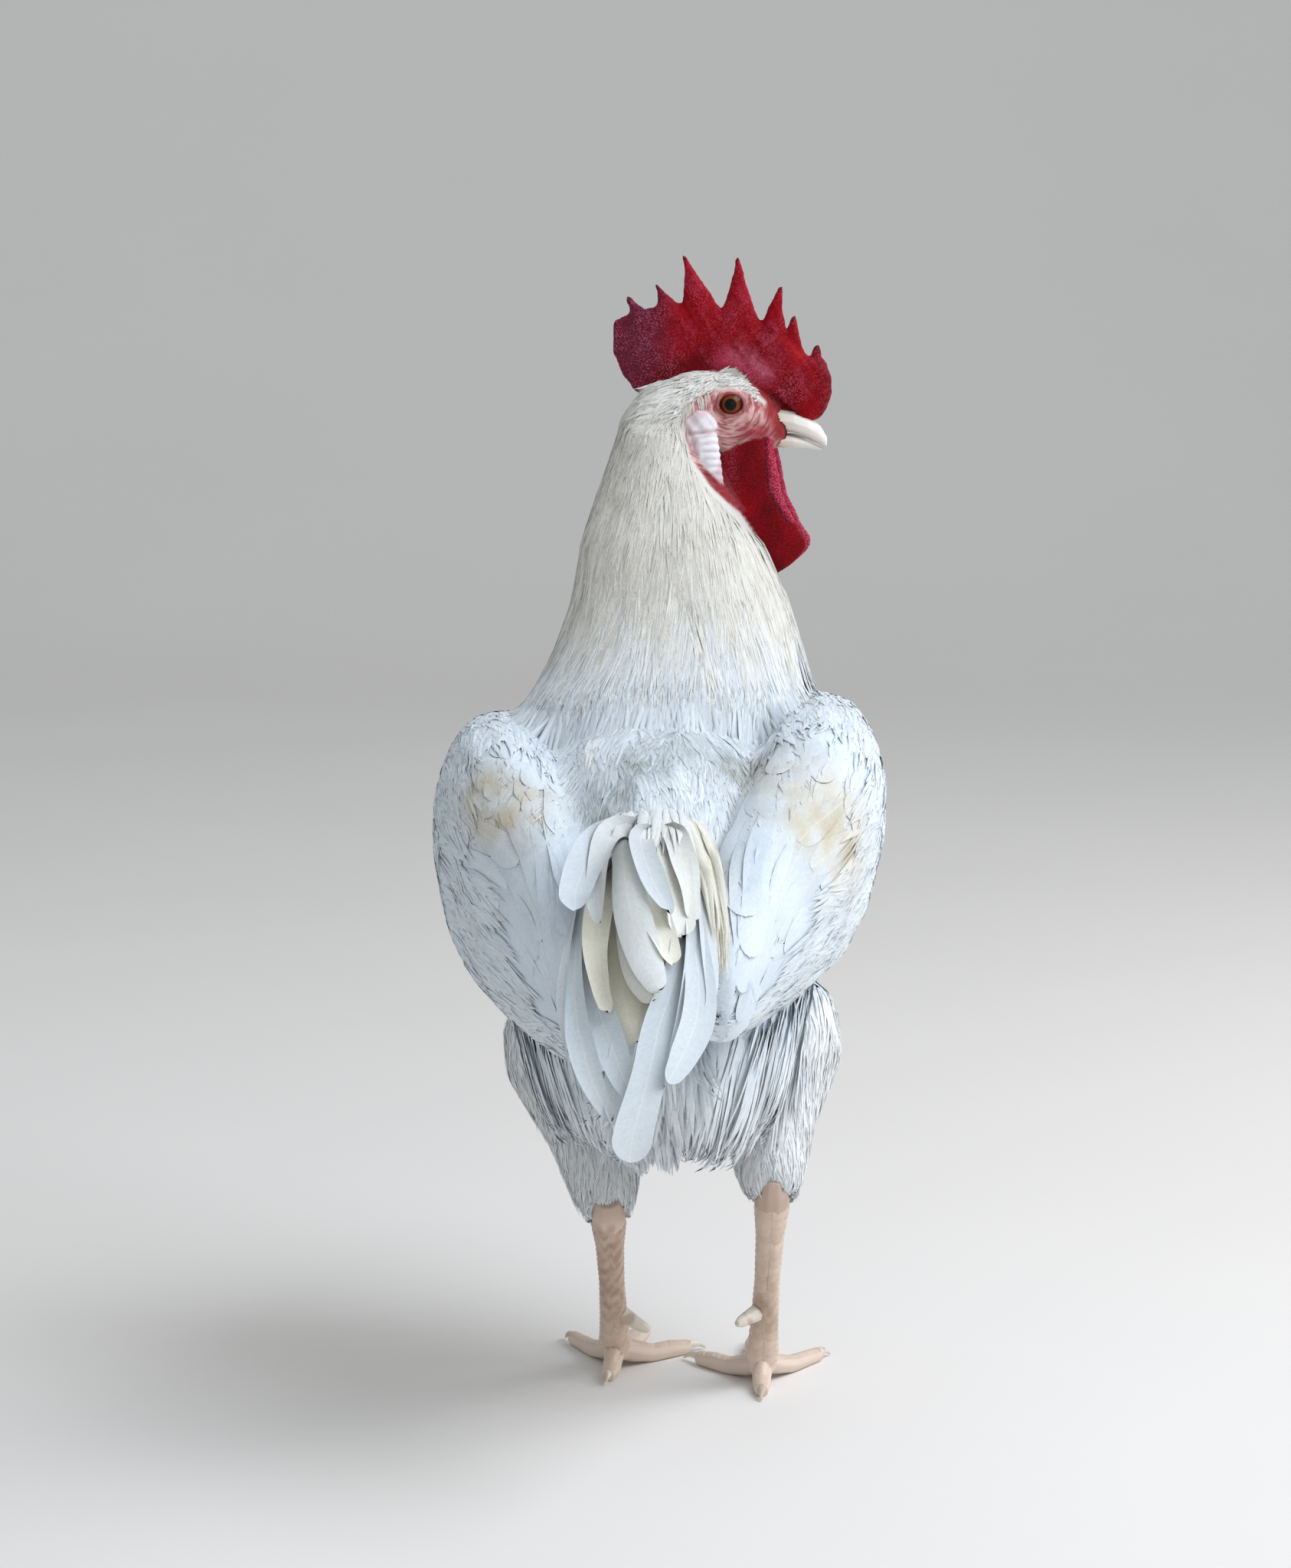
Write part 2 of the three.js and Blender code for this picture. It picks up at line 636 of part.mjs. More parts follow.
function addPiece(name, solid, colour, roughness) {
  const material = new THREE.MeshStandardMaterial({ color: colour, roughness, metalness: 0 });
  const mesh = new THREE.Mesh(geometryOf(solid), material);
  mesh.name = name;
  rooster.add(mesh);
}

addPiece("trunk", trunk, COLOURS.plume, 0.85);
addPiece("neck", neck, COLOURS.plume, 0.85);
addPiece("head", head, COLOURS.face, 0.6);
addPiece("tail", tailSolid(), COLOURS.plume, 0.8);
addPiece("comb", comb, COLOURS.comb, 0.5);
addPiece("beak_upper", beakUpper, COLOURS.horn, 0.4);
addPiece("beak_lower", beakLower, COLOURS.horn, 0.4);
const sidePieces = { left: [earlobeLeft, wattleLeft, 1], right: [earlobeRight, wattleRight, -1] };
for (const [name, [lobe, wattle, side]] of Object.entries(sidePieces)) {
  addPiece(`earlobe_${name}`, lobe, COLOURS.lobe, 0.6);
  addPiece(`wattle_${name}`, wattle, COLOURS.comb, 0.5);
  addPiece(`eye_${name}`, solidOf(eyeGeometry(side)), COLOURS.eye, 0.1);
  addPiece(`wing_${name}`, wings[name], COLOURS.plume, 0.85);
  addPiece(`thigh_${name}`, legs[name].thigh, COLOURS.plume, 0.85);
  addPiece(`shank_${name}`, legs[name].shank, COLOURS.scale, 0.55);
  addPiece(`foot_${name}`, legs[name].foot, COLOURS.scale, 0.55);
  addPiece(`spur_${name}`, legs[name].spur, COLOURS.horn, 0.45);
  for (const [clawName, claw] of legs[name].claws) addPiece(clawName, claw, COLOURS.horn, 0.4);
}

const reach = new THREE.Box3().setFromObject(rooster);
const middle = reach.getCenter(new THREE.Vector3());
rooster.position.set(-middle.x, -middle.y, -reach.min.z);

export default rooster;
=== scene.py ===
# %% [markdown]
# # A white rooster, seen from behind
# This notebook dresses a life-size solid of a White Leghorn type cock. One skin with a comb, wattles,
# wrinkled face and scaly legs goes inside the solid, and a coat of mesh feathers grows out of that skin
# and ends at the solid's outline. The eyes, beak, claws and spurs stay pieces of their own.

import bpy
import numpy as np
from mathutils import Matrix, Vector
from mathutils.bvhtree import BVHTree


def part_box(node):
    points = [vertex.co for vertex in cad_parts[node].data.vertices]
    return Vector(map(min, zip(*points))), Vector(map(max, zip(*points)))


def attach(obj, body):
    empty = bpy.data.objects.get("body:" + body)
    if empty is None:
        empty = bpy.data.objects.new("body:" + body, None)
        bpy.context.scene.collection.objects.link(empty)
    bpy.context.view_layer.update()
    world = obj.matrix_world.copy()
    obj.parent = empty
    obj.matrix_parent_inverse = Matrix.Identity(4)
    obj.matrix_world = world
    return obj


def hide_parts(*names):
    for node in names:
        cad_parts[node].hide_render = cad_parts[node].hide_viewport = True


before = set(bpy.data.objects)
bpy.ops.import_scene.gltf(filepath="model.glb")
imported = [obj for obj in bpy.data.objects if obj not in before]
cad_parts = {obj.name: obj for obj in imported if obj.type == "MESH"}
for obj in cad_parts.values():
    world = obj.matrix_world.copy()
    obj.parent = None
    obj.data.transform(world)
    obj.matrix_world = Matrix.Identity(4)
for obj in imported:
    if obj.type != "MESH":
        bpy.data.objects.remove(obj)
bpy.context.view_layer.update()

# %% [markdown]
# ## Millimetres on the bird
# A bird is easier to describe from its own middle than from a corner of a box. The source measures in
# millimetres from the middle plane of the trunk, at floor level below the shoulders: X to the bird's
# right, Y ahead, Z up. The two eyes say where that middle lies in the frame, and which way the head looks.

# %% Places on the bird and in the head
MM = 0.001
HEAD = np.array([38.0, 77.0, 474.0])  # the middle of the head, between the eyes
UP = np.array([0.0, 0.0, 1.0])


def middle_of(node):
    low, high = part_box(node)
    return np.array((low + high) / 2)


def unit(rows):
    return rows / np.maximum(np.linalg.norm(rows, axis=-1, keepdims=True), 1e-9)


eye_right, eye_left = middle_of("eye_right"), middle_of("eye_left")
ORIGIN = (eye_right + eye_left) / 2 - HEAD * MM
head_side = unit(eye_left - eye_right)
HEAD_AXES = np.array([np.cross(head_side, UP), head_side, UP])
EYE_RADIUS = float(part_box("eye_right")[1].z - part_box("eye_right")[0].z) / 2 / MM
EYE_SIDE = float(np.linalg.norm(eye_left - eye_right)) / 2 / MM


def in_bird(points):
    return (np.asarray(points) - ORIGIN) / MM


def in_frame(points):
    return np.asarray(points) * MM + ORIGIN


def in_head(points):
    return (points - HEAD) @ HEAD_AXES.T


def out_of_head(points):
    return np.asarray(points) @ HEAD_AXES + HEAD


print("origin", ORIGIN.round(4), "the beak points along", HEAD_AXES[0].round(3), "eye", EYE_RADIUS, EYE_SIDE)

# %% [markdown]
# ## Small tools
# Colours are written as the sRGB hex values that any paint program shows, and Blender's shaders want
# linear light, so one function turns them. Ramps and soft noise made of a few crossing waves are enough
# to place stains and folds, and they give the same result in every run.


# %% Colours, ramps and soft noise
def linear(code):
    srgb = np.array([int(code[i : i + 2], 16) for i in (1, 3, 5)]) / 255
    return np.where(srgb <= 0.04045, srgb / 12.92, ((srgb + 0.055) / 1.055) ** 2.4)


def ramp(values, start, end):
    share = np.clip((values - start) / (end - start), 0, 1)
    return share * share * (3 - 2 * share)


def blend(first, second, share):
    return first + (second - first) * np.asarray(share)[..., None]


WAVES = np.random.default_rng(5).normal(size=(7, 3))


def wobble(points, size):
    """Soft noise between about -1 and 1, with bumps about size millimetres across."""
    total = 0
    for i, wave in enumerate(WAVES):
        bent = 0.8 * np.sin(points[..., i % 3] / size)
        total = total + np.sin(points @ wave * (2.2 / size) + 1.7 * i + bent)
    return total / 3.2


print("white is", linear("#f4f6f4").round(3))


# %% [markdown]
# ## Materials from nodes
# Every finish here is a Principled surface with nodes that vary its colour and relief. Building a node
# tree by hand takes one call for each node: its kind, what feeds its inputs, and its settings.


# %% One function adds a node
def add(tree, kind, inputs=None, **settings):
    node = tree.nodes.new("ShaderNode" + kind)
    for name, value in settings.items():
        setattr(node, name, value)
    for name, value in (inputs or {}).items():
        if isinstance(value, bpy.types.NodeSocket):
            tree.links.new(value, node.inputs[name])
        else:
            node.inputs[name].default_value = value
    return node


def new_material(name):
    material = bpy.data.materials.new(name)
    material.use_nodes = True
    tree = material.node_tree
    surface = tree.nodes["Principled BSDF"]
    return material, tree, surface


def rgba(code):
    return (*linear(code), 1.0)


# %% [markdown]
# ## Solids as arrays
# Thousands of feathers are only quick to make if the sums are done on whole arrays. These helpers read a
# node's triangles, look up the nearest place on a surface, and turn arrays back into a Blender mesh.


# %% Reading, searching and writing meshes
def solid_arrays(nodes):
    """The welded corners, in millimetres on the bird, and the triangles of several nodes."""
    all_points, all_faces, start = [], [], 0
    for name in nodes:
        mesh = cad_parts[name].data
        points = np.empty(len(mesh.vertices) * 3, np.float32)
        mesh.vertices.foreach_get("co", points)
        corners = np.empty(len(mesh.loops), np.int32)
        mesh.loops.foreach_get("vertex_index", corners)
        places, back = np.unique(in_bird(points.reshape(-1, 3)).round(3), axis=0, return_inverse=True)
        all_points.append(places)
        all_faces.append(back.reshape(-1)[corners].reshape(-1, 3) + start)
        start += len(places)
    return np.concatenate(all_points), np.concatenate(all_faces)


def new_mesh(name, points, faces):
    """A mesh from corners in millimetres on the bird and faces that all have the same number of corners."""
    mesh = bpy.data.meshes.new(name)
    mesh.vertices.add(len(points))
    mesh.vertices.foreach_set("co", in_frame(points).astype(np.float32).ravel())
    mesh.loops.add(faces.size)
    mesh.loops.foreach_set("vertex_index", faces.astype(np.int32).ravel())
    mesh.polygons.add(len(faces))
    mesh.polygons.foreach_set("loop_start", np.arange(0, faces.size, faces.shape[1], dtype=np.int32))
    mesh.update(calc_edges=True)
    mesh.shade_smooth()
    return mesh


def mesh_arrays(mesh):
    points = np.empty(len(mesh.vertices) * 3, np.float32)
    mesh.vertices.foreach_get("co", points)
    normals = np.empty(len(mesh.vertices) * 3, np.float32)
    mesh.vertex_normals.foreach_get("vector", normals)
    return in_bird(points.reshape(-1, 3)), normals.reshape(-1, 3)


def face_corners(mesh):
    """The faces as triangles."""
    mesh.calc_loop_triangles()
    faces = np.empty(len(mesh.loop_triangles) * 3, np.int32)
    mesh.loop_triangles.foreach_get("vertices", faces)
    return faces.reshape(-1, 3)


def show(name, mesh, materials, stands_for=()):
    piece = bpy.data.objects.new(name, mesh)
    bpy.context.scene.collection.objects.link(piece)
    for material in materials:
        mesh.materials.append(material)
    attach(piece, "root")
    if stands_for:
        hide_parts(*stands_for)
    return piece


class Surface:
    """A smooth surface that can be searched for its nearest place and outward direction."""

    def __init__(self, points, faces, normals):
        self.tree = BVHTree.FromPolygons(points.tolist(), faces.tolist())
        self.normals = unit(normals[faces].mean(1))

    def nearest(self, points):
        flat = np.asarray(points).reshape(-1, 3)
        found = [self.tree.find_nearest(p) for p in flat.tolist()]
        places = np.array([f[0] for f in found])
        normals = self.normals[[f[2] for f in found]]
        return places.reshape(np.shape(points)), normals.reshape(np.shape(points))


def fused(name, points, faces, voxel, swell=0.0, rounds=0):
    """One closed mesh round several solids that overlap or nearly touch, on a grid of voxel millimetres."""
    rough = bpy.data.objects.new(name, new_mesh(name, points, faces))
    bpy.context.scene.collection.objects.link(rough)
    if swell:
        rough.modifiers.new("Swell", "DISPLACE").strength = swell * MM
        rough.modifiers["Swell"].mid_level = 0
    grid = rough.modifiers.new("Grid", "REMESH")
    grid.mode = "VOXEL"
    grid.voxel_size = voxel * MM
    if rounds:
        soft = rough.modifiers.new("Soft", "SMOOTH")
        soft.factor = 0.5
        soft.iterations = rounds
    graph = bpy.context.evaluated_depsgraph_get()
    mesh = bpy.data.meshes.new_from_object(rough.evaluated_get(graph), depsgraph=graph)
    bpy.data.objects.remove(rough)
    return mesh


def spread(values, mesh, rounds):
    """Values at the corners, averaged along the edges several times over."""
    edges = np.empty(len(mesh.edges) * 2, np.int32)
    mesh.edges.foreach_get("vertices", edges)
    first, second = edges.reshape(-1, 2).T
    count = np.bincount(edges, minlength=len(values))
    for _ in range(rounds):
        total = np.bincount(first, values[second], len(values))
        total = total + np.bincount(second, values[first], len(values))
        values = 0.5 * values + 0.5 * total / np.maximum(count, 1)
    return values


# %% [markdown]
# ## The outline of the plumage
# The solid of the trunk, neck, wings and thighs is the outside of the coat, with the feathers laid flat.
# Its facets are rounded off on a grid of about 3 mm. Feathers later grow along this surface, with their
# roots below it and their tips on it.

# %% Round off the outline
PLUMED = ["trunk", "neck", "head", "wing_left", "wing_right", "thigh_left", "thigh_right"]
points, faces = solid_arrays(PLUMED)
outline_mesh = fused("outline", points, faces, voxel=2.6, swell=0.3, rounds=6)
outline_points, outline_normals = mesh_arrays(outline_mesh)
outline_faces = face_corners(outline_mesh)
OUTLINE = Surface(outline_points, outline_faces, outline_normals)
print("outline:", len(outline_points), "corners")

# %% [markdown]
# ## The body under the feathers
# A plucked fowl is much thinner than a feathered one. The body is the same surface drawn in by the depth
# of the coat: some 6 mm on the trunk and the cape, less on the neck, and next to nothing at the hock.
# Thin places, such as the end of a wing, give up no more than a third of their thickness.


# %% Draw the body in
def coat_depth(points):
    height = in_head(points)[:, 2]
    depth = np.full(len(points), 6.0)
    depth = blend(depth[:, None], np.array([2.2]), ramp(points[:, 2], 380, 440))[:, 0]
    depth = np.where(points[:, 2] < 130, 1.5 + 4.5 * ramp(points[:, 2], 100, 130), depth)
    return np.where(height > -30, 1.4, depth)


tree = OUTLINE.tree
inward = [
    (tree.ray_cast(Vector(p - 0.3 * n), Vector(-n)) or (None,))[3]
    for p, n in zip(outline_points, outline_normals)
]
thickness = np.array([99.0 if t is None else t for t in inward])
depth = np.minimum(coat_depth(outline_points), thickness * 0.33)
depth = spread(depth, outline_mesh, 12)
body_points = outline_points - outline_normals * depth[:, None]
print("coat depth:", depth.min().round(1), "to", depth.max().round(1), "mm")

# %% [markdown]
# ## Comb, wattles and earlobes as smooth lofts
# The solids of the bare parts have few facets. The skin needs them smooth, so the comb, wattles and
# earlobes are lofted again here from their sizes: cross sections are listed from one end to the other,
# a smooth curve fills in the sections between, and each is drawn as a squarish oval.


# %% Loft the soft red parts
def smooth_rows(rows, count):
    """Rows filled in to count rows, on a Catmull-Rom curve through the given ones."""
    rows = np.array(rows, float)
    padded = np.concatenate([2 * rows[:1] - rows[1:2], rows, 2 * rows[-1:] - rows[-2:-1]])
    t = np.linspace(0, len(rows) - 1 - 1e-6, count)
    k = t.astype(int)
    t = (t - k)[:, None]
    a, b, c, d = padded[k], padded[k + 1], padded[k + 2], padded[k + 3]
    return 0.5 * (2 * b + (c - a) * t + (2 * a - 5 * b + 4 * c - d) * t**2 + (3 * b - a - 3 * c + d) * t**3)


def tube(centres, first, second, half_first, half_second, sides=28, squareness=2.0):
    """A closed tube round centres; each section is an oval along two directions with its half sizes."""
    turn = np.linspace(0, 2 * np.pi, sides, endpoint=False)
    u = np.sign(np.cos(turn)) * np.abs(np.cos(turn)) ** (2 / squareness)
    v = np.sign(np.sin(turn)) * np.abs(np.sin(turn)) ** (2 / squareness)
    around = (half_first[:, None] * u)[..., None] * first[:, None]
    around = around + (half_second[:, None] * v)[..., None] * second[:, None]
    points = (centres[:, None] + around).reshape(-1, 3)
    rows = len(centres)
    ring = np.arange(sides)
    following = (ring + 1) % sides
    row = np.arange(rows - 1)[:, None] * sides
    side = np.concatenate(
        [
            np.stack([row + ring, row + following, row + sides + following], -1).reshape(-1, 3),
            np.stack([row + ring, row + sides + following, row + sides + ring], -1).reshape(-1, 3),
        ]
    )
    last = (rows - 1) * sides
    ends = [
        np.stack([np.full(sides, rows * sides), following, ring], -1),
        np.stack([np.full(sides, rows * sides + 1), ring + last, following + last], -1),
    ]
    points = np.concatenate([points, centres[:1], centres[-1:]])
    return out_of_head(points), np.concatenate([side, *ends])


AHEAD, ASIDE = np.array([1.0, 0, 0]), np.array([0, 1.0, 0])


def all_along(direction, count):
    return np.broadcast_to(direction, (count, 3))


COMB_RIDGE = [
    # x, foot of the comb, valley line, half thickness
    (48, 5, 14, 2.5),
    (43, -6, 22, 5),
    (34, -8.5, 24, 6.5),
    (25, -4, 33, 6),
    (11, 4, 37, 5),
    (-7, 10, 44, 4),
    (-27, 9, 49, 3.4),
    (-44, 3.5, 46, 2.8),
    (-54, 11, 43, 2.4),
    (-60, 24, 40, 1.6),
]
COMB_SPIKES = [
    # x of the root, root height, half length of the root, tip x, tip height
    (-45, 38, 9, -53.5, 52),
    (-31, 41, 9, -39.6, 58.6),
    (-16, 40, 12, -25.7, 72.8),
    (2, 34, 12.5, 1.6, 72.5),
    (17, 27, 10.5, 23, 58),
    (28, 20, 8, 29.5, 43),
    (38.5, 10, 8, 41.5, 28.6),
]


HEAD_SECTIONS = [
    # x, crown, throat, half width
    (-57, -8, -24, 9),
    (-50, 1, -33, 16),
    (-38, 9, -37, 18.5),
    (-22, 14.5, -33, 17.5),
    (-6, 15.5, -26, 15.6),
    (6, 12, -24.5, 14),
    (15, 5, -23.5, 11),
    (22, -2, -22, 8.5),
    (26, -6, -19, 6.5),
]


def head_part():
    x, crown, throat, half = smooth_rows(HEAD_SECTIONS, 70).T
    centres = np.stack([x, 0 * x, (crown + throat) / 2], 1)
    return tube(centres, all_along(UP, 70), all_along(ASIDE, 70), (crown - throat) / 2, half, 48, 2.15)


def comb_parts():
    x, foot, valley, half = smooth_rows(COMB_RIDGE, 60).T
    centres = np.stack([x, 0 * x, (foot + valley) / 2], 1)
    yield tube(centres, all_along(UP, 60), all_along(ASIDE, 60), (valley - foot) / 2, half, squareness=2.4)
    for root_x, root_z, half_length, tip_x, tip_z in COMB_SPIKES:
        t = np.linspace(0, 1, 26)
        root, tip = np.array([root_x, 0, root_z]), np.array([tip_x, 0, tip_z])
        pull = np.array([(root_x * 3 + tip_x) / 4, 0, (root_z + tip_z) / 2])
        centres = ((1 - t) ** 2)[:, None] * root + (2 * t * (1 - t))[:, None] * pull + (t**2)[:, None] * tip
        round_off = np.sqrt(np.clip(1 - t**12, 0, 1))
        length = (half_length * (1 - t) ** 1.5 + 1.15) * round_off
        thick = (1.1 + 2.4 * (1 - t)) * round_off
        yield tube(centres, all_along(AHEAD, 26), all_along(ASIDE, 26), length, thick)


WATTLE = [
    # height, rear edge, front edge, half thickness, distance from the middle of the head
    (-15, 2, 20, 2.6, 7.5),
    (-28, -7, 22, 3, 9.5),
    (-46, -5, 26, 2.6, 10.5),
    (-60, 2, 33, 2.6, 10.5),
    (-69, 8.5, 37.5, 2.6, 10),
    (-78, 13, 31, 2.4, 9.5),
    (-85, 16, 21, 1.6, 9),
]
EARLOBE = [
    # height, middle, half length, half thickness, distance from the middle of the head
    (-3.5, -14, 3, 1.6, 16),
    (-9, -15.4, 8, 3.2, 16.6),
    (-19, -14, 8.8, 4.2, 17.4),
    (-30, -11.6, 7.8, 4.4, 17.6),
    (-40, -8, 5.2, 3.8, 16.8),
    (-47.5, -5, 1.6, 1.6, 15.5),
]


def lappets(side):
    z, rear, front, half, out = smooth_rows(WATTLE, 44).T
    centres = np.stack([(rear + front) / 2, side * out, z], 1)
    yield tube(centres, all_along(AHEAD, 44), all_along(ASIDE, 44), (front - rear) / 2, half)
    z, middle, length, half, out = smooth_rows(EARLOBE, 40).T
    centres = np.stack([middle, side * out, z], 1)
    yield tube(centres, all_along(AHEAD, 40), all_along(ASIDE, 40), length, half)


soft_parts = [head_part(), *comb_parts(), *lappets(-1), *lappets(1)]
print("lofted:", len(soft_parts), "parts,", sum(len(p) for p, _ in soft_parts), "corners")

# %% [markdown]
# The lids are what makes an eye look out of a head and not lie on it. Each pair is one ring of skin round
# the eyeball, longer than it is high, and thicker above, where the brow overhangs it.

# %% Ring the eyes with lids
LID_OPENING = (5.5, 4.4)  # half length and half height
HEAD_TREE = BVHTree.FromPolygons(*[a.tolist() for a in soft_parts[0]])


def on_cheek(x, z, side):
    """How far from the head's middle its side lies, at places in the side view."""
    reach = []
    for a, b in zip(x, z):
        start, way = out_of_head((a, side * 40, b)), out_of_head((0, -side, 0)) - HEAD
        reach.append(40 - HEAD_TREE.ray_cast(Vector(start), Vector(way))[3])
    return np.array(reach)


def lids(side):
    turn = np.linspace(0, 2 * np.pi, 49)
    x = (LID_OPENING[0] + 1.0) * np.cos(turn)
    z = (LID_OPENING[1] + 1.0) * np.sin(turn) - 0.5 * np.cos(turn) ** 2 * np.sin(turn)
    centres = np.stack([x, side * (on_cheek(x, z, side) + 0.25), z], 1)
    along = unit(np.gradient(centres, axis=0))
    outward = np.broadcast_to(ASIDE * side, along.shape)
    thick = 0.95 + 0.3 * np.sin(turn).clip(0)
    return tube(centres, outward, np.cross(along, outward), thick, thick * 1.1, sides=12)


soft_parts += [lids(-1), lids(1)]
print("lids open", [2 * size for size in LID_OPENING], "mm")

# %% [markdown]
# ## One skin
# The drawn-in body is fused with the comb, face, wattles, earlobes, shanks and feet into one closed
# skin, as a taxidermist's mount has, so no seam shows where the parts meet. The grid is fine enough for
# the head; the body, which the coat hides, is thinned out afterwards.

# %% Fuse the skin
BARE = ["head", "comb", "wattle_left", "wattle_right", "earlobe_left", "earlobe_right"]
BARE += ["shank_left", "shank_right", "foot_left", "foot_right"]
FINE = 0.9
layers = [(body_points, outline_faces), solid_arrays(BARE[6:]), *soft_parts]
starts = np.cumsum([0] + [len(points) for points, _ in layers])
all_points = np.concatenate([points for points, _ in layers])
all_faces = np.concatenate([faces + start for (_, faces), start in zip(layers, starts)])
skin_mesh = fused("skin", all_points, all_faces, voxel=FINE, swell=0.2, rounds=3)
print("fused skin:", len(skin_mesh.vertices), "corners")

# %% [markdown]
# Which part each place of the skin belongs to is read from the solids: the nearest one gives its name.
# Weights made from these names say where the mesh may be thinned.


# %% Name the regions
REGIONS = ["plumage"] + BARE


def name_regions(points):
    """The number, in REGIONS, of the bare part that a place is on, or 0 under the feathers."""
    best = np.full(len(points), 2.2)
    region = np.zeros(len(points), int)
    for number, node in enumerate(BARE, 1):
        low, high = (in_bird(corner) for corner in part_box(node))
        near = np.flatnonzero(((points > low - 2) & (points < high + 2)).all(1))
        tree = BVHTree.FromPolygons(*[a.tolist() for a in solid_arrays([node])])
        gaps = np.array([tree.find_nearest(p)[3] for p in points[near].tolist()])
        closer = gaps < best[near]
        region[near[closer]] = number
        best[near[closer]] = gaps[closer]
    return region


SKIN_TRIANGLES = 195_000
skin_points, _ = mesh_arrays(skin_mesh)
region = name_regions(skin_points)
skin_object = bpy.data.objects.new("skin_draft", skin_mesh)
bpy.context.scene.collection.objects.link(skin_object)
hidden = skin_object.vertex_groups.new(name="hidden")
hidden.add(np.flatnonzero(region == 0).tolist(), 1.0, "REPLACE")
thin = skin_object.modifiers.new("Thin", "DECIMATE")
thin.ratio = SKIN_TRIANGLES / sum(len(p.vertices) - 2 for p in skin_mesh.polygons)
thin.vertex_group = "hidden"
thin.vertex_group_factor = 10
thin.use_symmetry = False
graph = bpy.context.evaluated_depsgraph_get()
skin_mesh = bpy.data.meshes.new_from_object(skin_object.evaluated_get(graph), depsgraph=graph)
bpy.data.objects.remove(skin_object)
skin_points, skin_normals = mesh_arrays(skin_mesh)
region = name_regions(skin_points)
print("skin:", len(skin_points), "corners,", {REGIONS[k]: int((region == k).sum()) for k in set(region)})

# %% [markdown]
# ## Sculpting the head
# A cock's head is nearly bare. The lids are two low rings round the eye, the skin is creased from the
# gape to the eye, the front of the comb folds over the nostrils, and the white earlobe is crossed by
# wrinkles. These forms move the skin's own corners by formulas in the head's axes.


# %% Folds of the face, comb, wattles and earlobes
def bump_at(values, centre, reach):
    return np.exp(-(((values - centre) / reach) ** 2))


def line_gap(x, z, start, end):
    """The distance from places in the head's side view to a straight line between two points."""
    start, end = np.array(start), np.array(end)
    run = end - start
    share = np.clip(((x - start[0]) * run[0] + (z - start[1]) * run[1]) / (run @ run), 0, 1)
    return np.hypot(x - start[0] - share * run[0], z - start[1] - share * run[1])


def is_part(*names):
    return np.isin(region, [REGIONS.index(name) for name in names])


def wattle_fold(z):
    """Where, in the side view, the smooth rear of a wattle meets its pebbly front strip."""
    return np.interp(-z, [24, 42, 53, 57.5, 61], [17, 18.5, 25, 28, 42])


BEHIND_BALL = 1.4  # how far the skin inside the opening of the lids lies behind the eyeball's surface
LOBE_NOTCH = ((-24, -14.5), (-7, -13))  # x and height at both ends of the groove under the upper lobe
LOBE_CREASE = ((-19.5, -15), (-9, -44))  # and of the crease down the main lobe
WRINKLE_GAP = 3.7  # from one wrinkle of the main lobe to the next


def lobe_wrinkles(places):
    """1 in the wrinkles that cross the main lobe, and 0 on the skin between them."""
    x, _, z = places.T
    return 1 - np.abs(np.sin(np.pi * (z - 0.10 * x + 0.5 * wobble(places, 8)) / WRINKLE_GAP)) ** 0.6


REAR_EDGE = [
    # height, x of the last bare place there: behind the ear, round the earlobe, and down along the wattle
    (-87, 28),
    (-66, 18),
    (-58, 9),
    (-51, 2.5),
    (-40, -8.5),
    (-25, -19),
    (-9.7, -23.2),
    (-2, -23.3),
    (4, -16),
]
BROW_EDGE = [(-16, 4), (-8.5, 7), (1.5, 7.7), (9, 5.2), (15, 0), (17, -3)]  # x, height of the first feathers


def feathered(points):
    """How far inside the feathered part of the head a place lies, in millimetres; negative on bare skin."""
    x, _, z = in_head(points).T
    behind = np.interp(z, *np.array(REAR_EDGE).T) - x
    above = np.minimum(z - np.interp(x, *np.array(BROW_EDGE).T), 16.5 - x)
    above = np.minimum(above, 15.8 - 0.88 * x - z + 99 * (x < -8))
    return np.maximum(behind, above)


h = in_head(skin_points)
x, y, z = h.T
around_eye = np.hypot(x, z)
opening = np.hypot(x / LID_OPENING[0], z / LID_OPENING[1])
region = np.where((opening < 1.6) & (np.abs(y) > 8), REGIONS.index("head"), region)
flank = ramp(np.abs(y), 6.5, 9.5)
face = is_part("head") * flank * ramp(-feathered(skin_points), -2, 1)
comb = is_part("comb")
wattle = is_part("wattle_left", "wattle_right")
lobe = is_part("earlobe_left", "earlobe_right")
below_eye = ramp(-z, 3, 7) * ramp(around_eye, 8, 10)
push = 0.45 * bump_at(around_eye, 10.2, 0.9) - 0.5 * bump_at(around_eye, 8.6, 0.6)
push += 0.3 * np.sin(around_eye * 2.4 + 1.8 * wobble(h, 6)) * below_eye
push -= 0.8 * bump_at(line_gap(x, z, (7, -9.5), (16, -12)), 0, 0.9)
push += 0.7 * bump_at(line_gap(x, z, (-7, 9), (12, 8)), 0, 2.4)
push = push * face
push += comb * (0.35 * wobble(h, 7) + 0.2 * wobble(h, 2.4))
push -= comb * 1.9 * bump_at(line_gap(x, z, (19, 4), (29, -5)), 0, 1.5)
push -= comb * 0.8 * bump_at(line_gap(x, z, (13, 12), (27, 7)), 0, 1.2)
front_strip = ramp(x - wattle_fold(z), -0.5, 1.0)  # of a wattle, where it is pebbly
push += wattle * (0.3 * wobble(h, 12) + (0.04 + 0.14 * front_strip) * wobble(h, 2.0))
push += wattle * (0.4 * front_strip - 0.6 * bump_at(x, wattle_fold(z), 0.8))
front = ramp(x + 0.25 * z, -21, -17)  # of the main lobe, where the wrinkles are regular
upper = ramp(z, -15, -13)
push -= lobe * (1 - upper) * front * 0.7 * lobe_wrinkles(h)
push += lobe * (1 - (1 - upper) * front) * (0.55 * wobble(h, 4.2) + 0.2 * wobble(h, 1.9))
